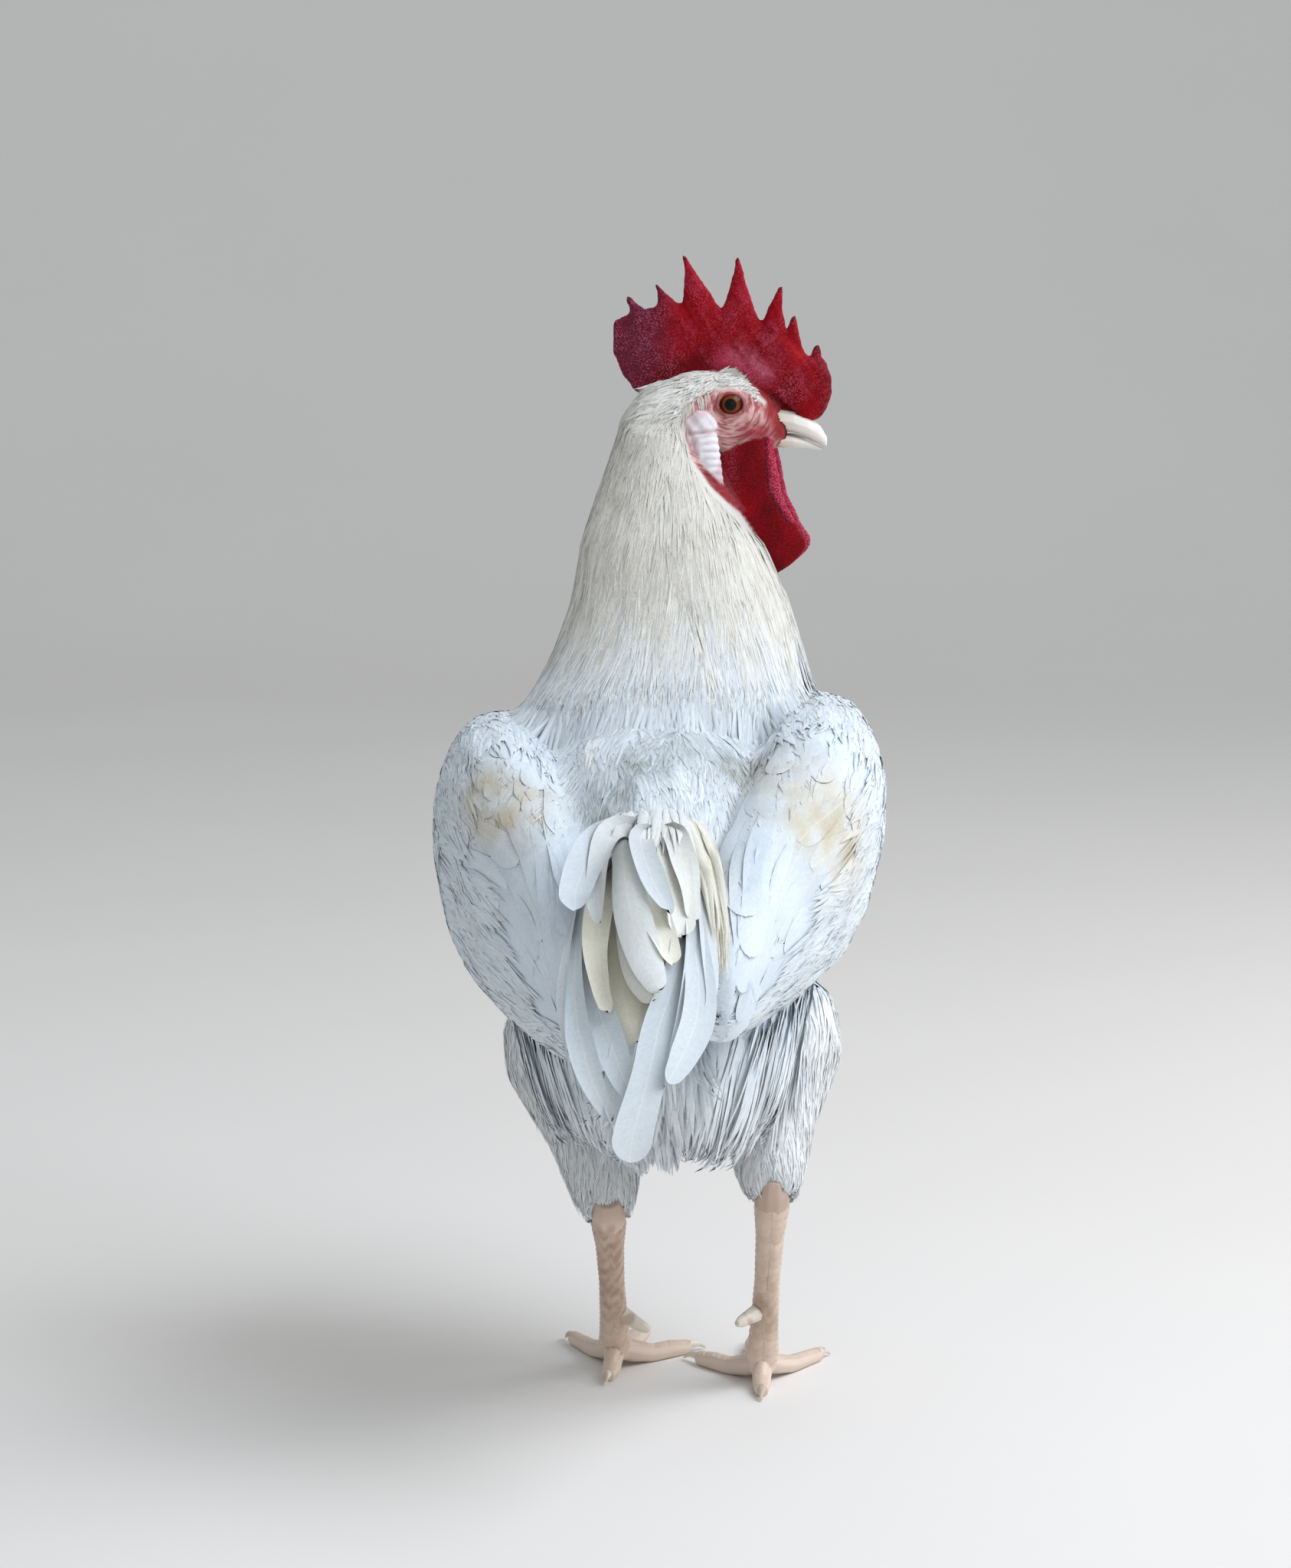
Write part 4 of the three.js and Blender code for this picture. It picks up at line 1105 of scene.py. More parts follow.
def feather_grids(spines, normals, widths, random, *, columns, belly, point, camber, ragged, twist=8.0):
    """Sheets for feathers, from spines of feathers by rows by place. Widths are in millimetres."""
    count, rows, _ = spines.shape
    along = stations(rows)
    across = np.linspace(-1, 1, columns)
    ahead = unit(np.gradient(spines, axis=1))
    aside = unit(np.cross(ahead, normals))
    up = np.cross(aside, ahead)
    roll = np.radians(random.normal(0, twist, (count, 1, 1)))
    aside, up = aside * np.cos(roll) + up * np.sin(roll), up * np.cos(roll) - aside * np.sin(roll)
    half = 0.5 * widths[:, None] * width_share(along, belly, point)[None]
    sideways = across[None, None, :, None] * half[:, :, None, None] * aside[:, :, None]
    sink = camber * np.abs(across[None, None, :, None]) ** 1.6 * half[:, :, None, None] * up[:, :, None]
    lengths = np.linalg.norm(spines[:, -1] - spines[:, 0], axis=-1)
    fray = random.normal(0, ragged, (count, 1, columns, 1)) * (along[None, :, None, None] ** 5)
    grids = spines[:, :, None] + sideways - sink + ahead[:, :, None] * fray * lengths[:, None, None, None]
    from_shaft = across[None, None, :] * half[:, :, None]
    from_quill = along[None, :, None] * lengths[:, None, None] + 0 * from_shaft
    facing = unit(up[:, :, None] + 0.3 * across[None, None, :, None] * aside[:, :, None])
    return grids, np.stack([from_shaft, from_quill], -1), facing


# %% [markdown]
# ## Growing along the body
# Feathers lie the way they would blow in a wind from the beak. For each part of the body one formula
# gives that direction, mostly away from a point ahead of the part. A feather walks along a surface from
# its root in short steps. Neighbours hold together in locks a centimetre or so across, as barbs that
# cling do: the feathers of a lock share one small turn and one brightness, and draw together at their tips.


# %% Walk along a surface
def tangent(ways, normals, cling=1.0):
    return unit(ways - normals * (ways * normals).sum(-1, keepdims=True) * cling)


def walk(starts, lie, lengths, shares, surface, turn=0.0, curl=0.0, cling=0.9, keep=0.5):
    """Spines along a surface, stepped at the given shares of their lengths, and their outward directions."""
    place, normal = surface.nearest(starts)
    heading = None
    spines, normals = [place], [normal]
    for before, after in zip(shares[:-1], shares[1:]):
        way = tangent(lie(place), normal, min(1.0, cling + 0.2))
        bend = np.asarray(turn + curl * np.cos(9 * before))
        way = unit(way + np.cross(way, normal) * bend.reshape(-1, 1))
        heading = way if heading is None else unit(keep * heading + (1 - keep) * way)
        heading = unit(heading - normal * (heading * normal).sum(-1, keepdims=True) * cling)
        wanted = place + heading * lengths[:, None] * (after - before)
        near, facing = surface.nearest(wanted)
        place = wanted + (near - wanted) * cling
        normal = unit(normal * (1 - cling) + facing * cling)
        spines.append(place)
        normals.append(normal)
    return np.stack(spines, 1), np.stack(normals, 1)


# %% [markdown]
# A spine then gets its height. Its root sits in the skin, the next fifth rises through the coat, and the
# rest lies almost flat on the outline, each feather a fraction of a millimetre above its neighbours.


# %% Grow spines in locks
def heights(along, root, sink, lift):
    return -root * (1 - along) ** 9 - sink * (1 - along) + lift * along**3


def grow(roots, lie, lengths, random, *, rows, surface=None, root=5.0, sink=0.6, lift=0.1, puff=0.2,
         cling=0.9, sway=0.12, gather=0.5, curl=0.0, lock=9.0, tone=0.05):
    """Spines from roots, their outward directions, and a brightness for each."""
    surface = surface or OUTLINE
    place, normal = surface.nearest(roots)
    layer = random.integers(0, 2, (len(place), 1))
    cells = np.column_stack([np.floor(place / lock + 0.3 + 0.5 * layer).astype(int), layer])
    _, member, count = np.unique(cells, axis=0, return_inverse=True, return_counts=True)
    member = member.reshape(-1)
    middle = np.stack([np.bincount(member, place[:, k]) for k in range(3)], 1) / count[:, None]
    aside = np.cross(tangent(lie(place), normal), normal)
    off = ((middle[member] - place) * aside).sum(-1)
    turn = random.normal(0, sway, len(count))[member] + random.normal(0, sway * 0.4, len(roots))
    turn = turn + gather * off / lengths
    bend = curl * random.normal(0, 1, len(count))[member] if curl else 0.0
    spines, normals = walk(roots, lie, lengths, stations(rows), surface, turn, bend, cling)
    along = stations(rows)[None, :, None]
    level = puff * (random.random(len(count))[member] + 0.6 * random.random(len(roots)))[:, None, None]
    spines = spines + normals * (heights(along, root, sink, lift) + level * (1 - (1 - along) ** 3))
    shade = 1 + random.normal(0, tone, len(count))[member] + random.normal(0, tone * 0.7, len(roots))
    return spines, normals, shade


# %% [markdown]
# Roots are scattered by the area of the outline's faces and then thinned, so that no two share a cell of
# a grid. The names of the solids say which part of the bird a face belongs to.

# %% Scatter roots
plumed_arrays = [solid_arrays([name]) for name in PLUMED]
plumed_trees = [BVHTree.FromPolygons(p.tolist(), f.tolist()) for p, f in plumed_arrays]
corners = outline_points[outline_faces]
face_middle = corners.mean(1)
face_area = np.linalg.norm(np.cross(corners[:, 1] - corners[:, 0], corners[:, 2] - corners[:, 0]), axis=1)
gaps = np.array([[t.find_nearest(p)[3] for p in face_middle.tolist()] for t in plumed_trees])
face_part = gaps.argmin(0)
QUICK_SHARE = 1.0


def scatter(parts, cell, random, wanted=lambda places: np.full(len(places), True)):
    """Roots about cell millimetres apart on the named parts of the outline, where wanted is true."""
    cell = cell / QUICK_SHARE**0.5
    chosen = np.flatnonzero(np.isin(face_part, [PLUMED.index(p) for p in parts]))
    weight = face_area[chosen] / face_area[chosen].sum()
    count = int(8 * face_area[chosen].sum() / 2 / cell**2)
    picked = random.choice(chosen, count, p=weight)
    share = random.random((count, 2))
    share = np.where(share.sum(1, keepdims=True) > 1, 1 - share, share)
    a, b, c = corners[picked].transpose(1, 0, 2)
    places = a + (b - a) * share[:, :1] + (c - a) * share[:, 1:]
    places = places[wanted(places)]
    turned = places @ CELL_TURN
    _, first = np.unique(np.floor(turned / cell + 0.37).astype(int), axis=0, return_index=True)
    return places[np.sort(first)]


# The grid of cells is turned askew, so that no row of cells lines up with the bird.
CELL_TURN = np.linalg.qr(np.random.default_rng(8).normal(size=(3, 3)))[0]
print("faces on each part:", {name: int((face_part == k).sum()) for k, name in enumerate(PLUMED)})

# %% [markdown]
# ## The stuff of feathers
# A vane is barbs, hooked side by side. They leave the shaft at a slant on a body feather and lie almost
# along it on a hackle. Real barbs are 0.2 to 0.4 mm apart; they are drawn 1 to 3 mm apart here, as coarse
# as they need to be to show. A little sheen gives the soft edge of down, and the shaft is creamier.


# %% Feather materials
def feather_material(name, slant, spacing, contrast, shaft, relief=0.3):
    material, tree, surface = new_material(name)
    vane = add(tree, "UVMap", uv_map="Vane").outputs[0]
    split = add(tree, "SeparateXYZ", {0: vane})
    aside = add(tree, "Math", {0: split.outputs[0]}, operation="ABSOLUTE").outputs[0]
    lean = {0: aside, 1: -slant, 2: split.outputs[1]}
    slanted = add(tree, "Math", lean, operation="MULTIPLY_ADD").outputs[0]
    turns = add(tree, "Math", {0: slanted, 1: 2 * np.pi / spacing}, operation="MULTIPLY").outputs[0]
    place = add(tree, "NewGeometry").outputs["Position"]
    stray = add(tree, "TexNoise", {"Vector": place, "Scale": 1 / (6 * MM), "Detail": 2.0}).outputs[0]
    strayed = add(tree, "Math", {0: stray, 1: 9.0, 2: turns}, operation="MULTIPLY_ADD").outputs[0]
    barbs = add(tree, "Math", {0: strayed}, operation="SINE").outputs[0]
    lock_place = add(tree, "CombineXYZ", {0: slanted, 1: split.outputs[0], 2: stray}).outputs[0]
    lock = add(tree, "TexNoise", {"Vector": lock_place, "Scale": 0.55, "Detail": 3.0}).outputs[0]
    parting = {"Value": lock, "From Min": 0.3, "From Max": 0.6, "To Min": 1 - contrast}
    gap = add(tree, "MapRange", parting).outputs[0]
    fine = add(tree, "MapRange", {"Value": barbs, "From Min": -1.0, "To Min": 1 - 0.35 * contrast}).outputs[0]
    shade = add(tree, "Math", {0: gap, 1: fine}, operation="MULTIPLY").outputs[0]
    colour = add(tree, "Attribute", attribute_name="Tint").outputs["Color"]
    shaded = {0: 1.0, 6: colour, 7: shade}
    tinted = add(tree, "Mix", shaded, data_type="RGBA", blend_type="MULTIPLY").outputs[2]
    near = {"Value": aside, "From Min": 0.2, "From Max": 0.55, "To Min": shaft, "To Max": 0.0}
    on_shaft = add(tree, "MapRange", near)
    quill = {0: on_shaft.outputs[0], 6: tinted, 7: rgba("#f4efe2")}
    final = add(tree, "Mix", quill, data_type="RGBA").outputs[2]
    height = add(tree, "Math", {0: barbs, 1: 0.35, 2: lock}, operation="MULTIPLY_ADD").outputs[0]
    rough = add(tree, "Bump", {"Strength": relief, "Distance": 0.3 * MM, "Height": height}).outputs[0]
    tree.links.new(final, surface.inputs["Base Color"])
    tree.links.new(rough, surface.inputs["Normal"])
    surface.inputs["Roughness"].default_value = 0.65
    surface.inputs["IOR"].default_value = 1.45
    surface.inputs["Specular IOR Level"].default_value = 0.2
    surface.inputs["Sheen Weight"].default_value = 0.2
    surface.inputs["Sheen Roughness"].default_value = 0.5
    return material


CONTOUR = feather_material("contour feather vane", slant=1.3, spacing=1.1, contrast=0.10, shaft=0.2)
FLIGHT = feather_material(
    "flight feather vane", slant=1.1, spacing=1.3, contrast=0.09, shaft=0.25, relief=0.15
)
HACKLE = feather_material("hackle feather", slant=5.0, spacing=2.6, contrast=0.16, shaft=0.3)
DOWN = feather_material("downy feather", slant=4.0, spacing=3.0, contrast=0.14, shaft=0.0)


# %% [markdown]
# ## From sheets to a piece of the coat
# A piece of the coat is all the feathers of one part, joined. Its colours come from the markings, a touch
# darker towards the roots as painted shade under the feathers that cover them, with a slight difference
# from feather to feather. The unwrap turns each root's direction round the part's long axis into U, and its
# place along that axis into V. Every corner keeps the outward direction of its feather, so that neighbours
# shade as one soft coat.

# %% Join a piece of the coat
NECK_AXIS = ((2, 60, 500), (2, 40, 230))
TRUNK_AXIS = ((0, 125, 250), (0, -150, 260))


def unwrapped(roots, axis_start, axis_end):
    """U round the part's axis and V along it, for roots on a part shaped roughly like a barrel."""
    start, end = np.array(axis_start, float), np.array(axis_end, float)
    axis = unit(end - start)
    across = unit(np.cross(axis, np.array([0.3, 1.0, 0.2])))
    other = np.cross(axis, across)
    offset = roots - start
    u = np.arctan2(offset @ across, offset @ other) / (2 * np.pi) + 0.5
    v = (offset @ axis) / np.linalg.norm(end - start)
    return np.stack([0.02 + 0.96 * u, 0.02 + 0.96 * np.clip(v, 0, 1)], 1)


def coat(name, batches, material, axis, stands_for=(), root_shade=0.10):
    """A piece of the coat from batches of (grids, vane, facing, brightness of each feather, tint or None)."""
    points, quads, tints, vanes, patches, facings, start = [], [], [], [], [], [], 0
    for grids, vane, facing, shade, tint in batches:
        count, rows, columns, _ = grids.shape
        base = grid_faces(rows, columns)
        quads.append((base[None] + (np.arange(count) * rows * columns)[:, None, None]).reshape(-1, 4) + start)
        along = stations(rows)[None, :, None, None]
        colour = marking(grids) if tint is None else blend(marking(grids), linear(tint[0]), tint[1])
        # Painted shade: each feather is painted darker towards its root, where the feathers above cover it.
        colour = colour * (1 - root_shade * (1 - along) ** 1.5) * shade[:, None, None, None]
        root = unwrapped(grids[:, 0].mean(1), *axis)
        u = np.linspace(-0.5, 0.5, columns)[None, None, :] + np.zeros((count, rows, 1))
        v = np.linspace(-0.5, 0.5, rows)[None, :, None] + np.zeros((count, 1, columns))
        patches.append((root[:, None, None] + 0.003 * np.stack([u, v], -1)).reshape(-1, 2))
        points.append(grids.reshape(-1, 3))
        facings.append(facing.reshape(-1, 3))
        tints.append(colour.reshape(-1, 3))
        vanes.append(vane.reshape(-1, 2))
        start += count * rows * columns
    faces = np.concatenate(quads)
    mesh = new_mesh(name, np.concatenate(points), faces)
    colour_layer(mesh, "Tint", np.clip(np.concatenate(tints), 0, 0.92))
    for layer, places in (("OFBake", np.concatenate(patches)), ("Vane", np.concatenate(vanes))):
        uv = mesh.uv_layers.new(name=layer)
        uv.data.foreach_set("uv", places[faces.ravel()].astype(np.float32).ravel())
    mesh.shade_smooth()
    mesh.normals_split_custom_set_from_vertices(np.concatenate(facings).tolist())
    piece = show(name, mesh, [material], stands_for)
    print(name, "feathers:", sum(len(batch[0]) for batch in batches), "triangles:", 2 * len(faces))


def lengths_like(roots, short, long, where, random, spread_share=0.15):
    """Feather lengths from short to long as where goes from 0 to 1, with some difference between them."""
    return (short + (long - short) * where) * (1 + random.normal(0, spread_share, len(roots)).clip(-0.4, 0.4))


def feathers(grown, widths, random, tint=None, **shape):
    """A batch for coat, from what grow returned."""
    spines, normals, shade = grown
    return *feather_grids(spines, normals, widths, random, **shape), shade, tint


# %% [markdown]
# ## Neck hackle
# The hackle is the cock's cape: thousands of long narrow pointed feathers that start short behind the comb
# and lengthen down the neck, until the last rows fan over the shoulders and the back. They hang away from
# the nape, so their lie points away from a place just above it. They are fine enough to look like silk,
# and only the locks they hold together in are seen one by one.

# %% Grow the hackle
NAPE = np.array([16.0, 80.0, 535.0])


def away_from(pole, drift=(0, 0, 0)):
    return lambda places: unit(places - np.array(pole)) + np.array(drift)


HACKLE_BANDS = [
    # piece, lowest and highest root, millimetres between roots, depth of the roots
    ("coat_neck", 395, 600, 1.63, 1.5),
    ("coat_cape", 0, 395, 2.34, 5.0),
]


def on_neck(places, low, high):
    """Whether places between two heights are feathered, and lie behind or below the face."""
    x, _, z = in_head(places).T
    height = places[:, 2]
    return (height > low) & (height <= high) & (feathered(places) > 0) & ((x < -12) | (z < -35))


random = np.random.default_rng(11)
for name, low, high, cell, depth in HACKLE_BANDS:
    roots = scatter(["neck", "head"], cell, random, lambda p: on_neck(p, low, high))
    below = ramp(-roots[:, 2], -485, -330)
    lengths = lengths_like(roots, 15, 74, below, random, 0.2)
    grown = grow(roots, away_from(NAPE, (0, -0.12, 0)), lengths, random, rows=7, root=depth, sink=0.5,
                 lift=-0.05, puff=0.25, sway=0.09, gather=0.6, lock=11, tone=0.06)
    widths = (1.3 + 1.9 * below) * random.uniform(0.7, 1.3, len(roots))
    strands = feathers(grown, widths, random, columns=3, belly=0.35, point=1.0, camber=0.2, ragged=0.03)
    coat(name, [strands], HACKLE, NECK_AXIS, root_shade=0.25)

# %% [markdown]
# ## Back, saddle and breast
# Body feathers are broad and round ended, and lie like slates. On the back and the saddle they grow longer,
# narrower and pointed again, and hang over the root of the tail.

# %% Cover the trunk
random = np.random.default_rng(12)
roots = scatter(["trunk"], 2.1, random, lambda p: (p[:, 2] > 232 - 0.25 * p[:, 1]) & (p[:, 1] < 60))
saddle = ramp(-roots[:, 1], 20, 110)
lengths = lengths_like(roots, 26, 46, saddle, random)
lie = away_from((0, 90, 410), (0, -0.55, 0))
grown = grow(roots, lie, lengths, random, rows=7, lift=-0.1, puff=0.5, sway=0.24, gather=0.8, lock=12,
             tone=0.09)
widths = (4.0 - 1.2 * saddle) * random.uniform(0.7, 1.3, len(roots))
back = feathers(grown, widths, random, columns=3, belly=0.45, point=0.9, camber=0.2, ragged=0.05)
coat("coat_back", [back], CONTOUR, TRUNK_AXIS, root_shade=0.28)

random = np.random.default_rng(13)
roots = scatter(["trunk"], 5.2, random, lambda p: (p[:, 2] < 240 - 0.25 * p[:, 1]) | (p[:, 1] >= 55))
lengths = lengths_like(roots, 26, 34, ramp(-roots[:, 2], -330, -200), random)
lie = away_from((0, 110, 410), (0, -0.35, 0))
grown = grow(roots, lie, lengths, random, rows=7, lift=-0.2, sway=0.1, tone=0.025)
widths = 11.5 * random.uniform(0.8, 1.2, len(roots))
breast = feathers(grown, widths, random, columns=5, belly=0.55, point=0.4, camber=0.15, ragged=0.05)
coat("coat_breast", [breast], CONTOUR, TRUNK_AXIS)

# %% [markdown]
# ## Wings
# A folded wing is a set of rows. The secondaries are the long stiff feathers below, stacked so that each
# tip ends a little behind and above the next. The rows of coverts overlap their roots, each row shorter
# than the one it covers, a few short feathers end down the inner edge beside the tail, and the small ones
# on the shoulder blend into the back. The stiff rows are laid feather by feather: a feather is walked
# backwards from its tip towards the wrist of the wing, because the tips are what the eye reads. The small
# coverts are scattered.


# %% Lay the rows of a wing
def wing_lie(places):
    fall = 0.1 + 0.35 * ramp(-places[..., 1], -60, 160)
    return np.stack([0 * fall, -np.ones_like(fall), -fall], -1)


WING_ROWS = [
    # tips of the top, middle and bottom feathers (x on the right wing), how many, length, width, height above
    (((28, -160, 262), (38, -169, 232), (37, -150, 196)), 7, 128, 21, 0.1),
    (((37, -150, 196), (62, -112, 207), (84, -72, 218)), 6, 105, 19, 0.2),
    (((27, -134, 280), (56, -140, 244), (64, -112, 206)), 9, 74, 17, 0.3),
    (((34, -104, 296), (80, -112, 258), (92, -74, 214)), 10, 52, 15, 0.4),
    (((44, -78, 310), (98, -78, 272), (104, -44, 218)), 12, 38, 13, 0.45),
]
INNER_TIPS = [
    # tips down the inner edge of the right wing
    (38.5, -158, 256),
    (39, -160, 238),
    (35, -164, 223),
    (36.5, -160, 208),
    (31.5, -158, 200),
    (28.5, -156, 194),
]


def laid(tips, wrist, lengths, rows, height, random):
    """Spines that end at their tips and come from the direction of the wrist."""
    shares = 1 - stations(rows)[::-1]

    def lie(places):
        rise = 0.85 * ramp(-places[..., 1:2], 105, 160)
        upward = np.array([0.1 * np.sign(wrist[0]), 0.25, 0.95])
        return unit(unit(wrist - places) * (1 - rise) + upward * rise)

    spines, normals = walk(tips, lie, lengths, shares, OUTLINE, cling=0.95, keep=0.6)
    spines, normals = spines[:, ::-1], normals[:, ::-1]
    along = stations(rows)[None, :, None]
    step = 0.3 * np.linspace(1, 0, len(tips))[:, None, None]
    spines = spines + normals * (height + heights(along, 1.0, 0.3, -0.25 * (height > 0.1)) + step * along)
    return spines, normals, 1 + random.normal(0, 0.025, len(tips))


def has_small_coverts(places):
    """Whether places lie ahead of the wavy line where the small coverts end on the stiff rows."""
    return places[:, 1] + 0.9 * (268 - places[:, 2]) + 9 * wobble(places, 20) > -72


for side, part in ((-1, "wing_left"), (1, "wing_right")):
    random = np.random.default_rng(20 + side)
    axis = ((side * 60, 100, 290), (side * 40, -180, 230))
    roots = scatter([part], 5.4, random)
    lengths = lengths_like(roots, 22, 30, ramp(-roots[:, 1], -90, 40), random, 0.1)
    grown = grow(roots, wing_lie, lengths, random, rows=6, lift=-0.2, puff=0.1, sway=0.06, tone=0.015)
    widths = 13 * random.uniform(0.85, 1.15, len(roots))
    shape = {"columns": 5, "belly": 0.6, "point": 0.1, "camber": 0.08, "ragged": 0.02, "twist": 2}
    batches = [feathers(grown, widths, random, **shape)]
    drop = 9 if side < 0 else 0
    wrist = np.array([side * 104.0, 110.0, 300.0 - drop])
    for (top, middle, bottom), count, length, width, height in WING_ROWS:
        t = np.linspace(0, 1, count)[:, None]
        pull = 2 * np.array(middle) - (np.array(top) + bottom) / 2
        curve = (1 - t) ** 2 * top + 2 * t * (1 - t) * pull + t**2 * bottom
        tips = curve * (side, 1, 1) + (0, 0, -drop) + random.normal(0, 0.8, (count, 3))
        lengths = length * random.uniform(0.95, 1.05, count)
        grown = laid(tips, wrist, lengths, 18, height, random)
        widths = width * random.uniform(0.95, 1.1, count)
        shape = {"columns": 9, "belly": 0.72, "point": 0.02, "camber": 0.07, "ragged": 0.008, "twist": 1}
        batches.append(feathers(grown, widths, random, **shape))
    tips = np.array(INNER_TIPS, float) * (side, 1, 1) - (0, 0, drop)
    edge_way = unit(np.array([side * 0.1, 0.3, 0.95]))
    edge_lengths = np.full(len(tips), 52.0)
    shares = 1 - stations(14)[::-1]
    spines, normals = walk(
        tips, lambda p: edge_way + 0 * p, edge_lengths, shares, OUTLINE, cling=0.95, keep=0.6
    )
    spines, normals = spines[:, ::-1], normals[:, ::-1]
    spines = spines + normals * (1.7 - 2.8 * (1 - stations(14)))[None, :, None]
    shade = 1 + random.normal(0, 0.02, len(tips))
    widths = np.linspace(19, 15, len(tips))
    shape = {"columns": 9, "belly": 0.8, "point": 0.0, "camber": 0.1, "ragged": 0.005, "twist": 2}
    batches.append(feathers((spines, normals, shade), widths, random, **shape))
    coat("coat_" + part, batches, FLIGHT, axis)

    random = np.random.default_rng(25 + side)
    roots = scatter([part], 2.5, random, has_small_coverts)
    behind = ramp(-roots[:, 1], -90, 60)
    lengths = lengths_like(roots, 18, 34, behind, random, 0.2)
    grown = grow(roots, wing_lie, lengths, random, rows=6, lift=-0.2, puff=0.4, sway=0.15, gather=0.7,
                 lock=12, tone=0.045)
    spines, normals, shade = grown
    spines = spines + normals * 0.8
    widths = (3.6 + 0.8 * behind) * random.uniform(0.75, 1.25, len(roots))
    shape = {"columns": 3, "belly": 0.45, "point": 0.9, "camber": 0.18, "ragged": 0.05}
    small = feathers((spines, normals, shade), widths, random, **shape)
    coat("coat_shoulder_" + part[5:], [small], CONTOUR, axis, root_shade=0.12)

# %% [markdown]
# ## Fluff of the thighs and belly
# The thighs and the abdomen carry loose, soft feathers whose barbs don't hook together, so they hang as
# fine locks. They are narrow, wavy tufts that follow the body less closely and end in points of many
# lengths below it.

# %% Hang the fluff
FLUFF = {"columns": 3, "belly": 0.4, "point": 1.0, "camber": 0.2, "ragged": 0.04}
for side, part in ((-1, "thigh_left"), (1, "thigh_right")):
    random = np.random.default_rng(40 + side)
    roots = scatter([part], 2.1, random)
    high = ramp(roots[:, 2], 95, 150)
    lengths = lengths_like(roots, 11, 36, high, random, 0.25)
    lie = away_from((side * 50, 70, 330), (0, -0.05, -0.5))
    grown = grow(roots, lie, lengths, random, rows=7, root=3.0, lift=1.0, puff=0.8, cling=0.75, sway=0.16,
                 gather=0.9, curl=0.18, lock=9, tone=0.04)
    widths = (1.4 + 1.6 * high) * random.uniform(0.7, 1.3, len(roots))
    fluff = feathers(grown, widths, random, ("#f8f9f8", 0.5), **FLUFF)
    coat("coat_" + part, [fluff], DOWN, ((side * 50, 20, 220), (side * 40, -40, 80)))


def on_belly(places):
    """Whether places lie between the legs, or behind them under the tail."""
    y, z = places[:, 1], places[:, 2]
    return (z < 222) & (y < 60) | (y < -100) & (z < 285)


def hang_down(places):
    return 0.4 * away_from((0, 120, 330))(places) + (0, -0.12, -1.0)


random = np.random.default_rng(45)
roots = scatter(["trunk"], 2.5, random, on_belly)
lengths = lengths_like(roots, 30, 56, ramp(-roots[:, 1], -30, 70), random, 0.3)
_, facing = OUTLINE.nearest(roots)
lengths = lengths * (1 - 0.72 * ramp(-facing[:, 2], 0.35, 0.9))
# The heights of the lower ends make an uneven fringe.
fringe = 124 + 14 * wobble(roots * (1, 0.3, 0), 9) + random.uniform(0, 14, len(roots))
lengths = np.where(roots[:, 1] < 20, np.minimum(lengths, np.maximum(roots[:, 2] - fringe, 7)), lengths)
grown = grow(roots, hang_down, lengths, random, rows=7, root=4.0, lift=0.4, puff=0.3, cling=0.14, sway=0.09,
             gather=0.4, curl=0.1, lock=18, tone=0.05)
widths = 5.0 * random.uniform(0.6, 1.3, len(roots))
fluff = feathers(grown, widths, random, **FLUFF)
coat("coat_belly", [fluff], DOWN, TRUNK_AXIS, root_shade=0.06)

# %% [markdown]
# ## Tail
# The tail hangs low and is seen end on: one broad sickle in front, a second at its right, two blades and a
# thin pair at its left, and short coverts over their roots. Between them the creamy inner webs of the main
# tail feathers show, folded on themselves. Each feather is a few places along its middle line, each with
# its half width and its roll: 0 lies flat to somebody standing behind the bird, and 90 is edge on.

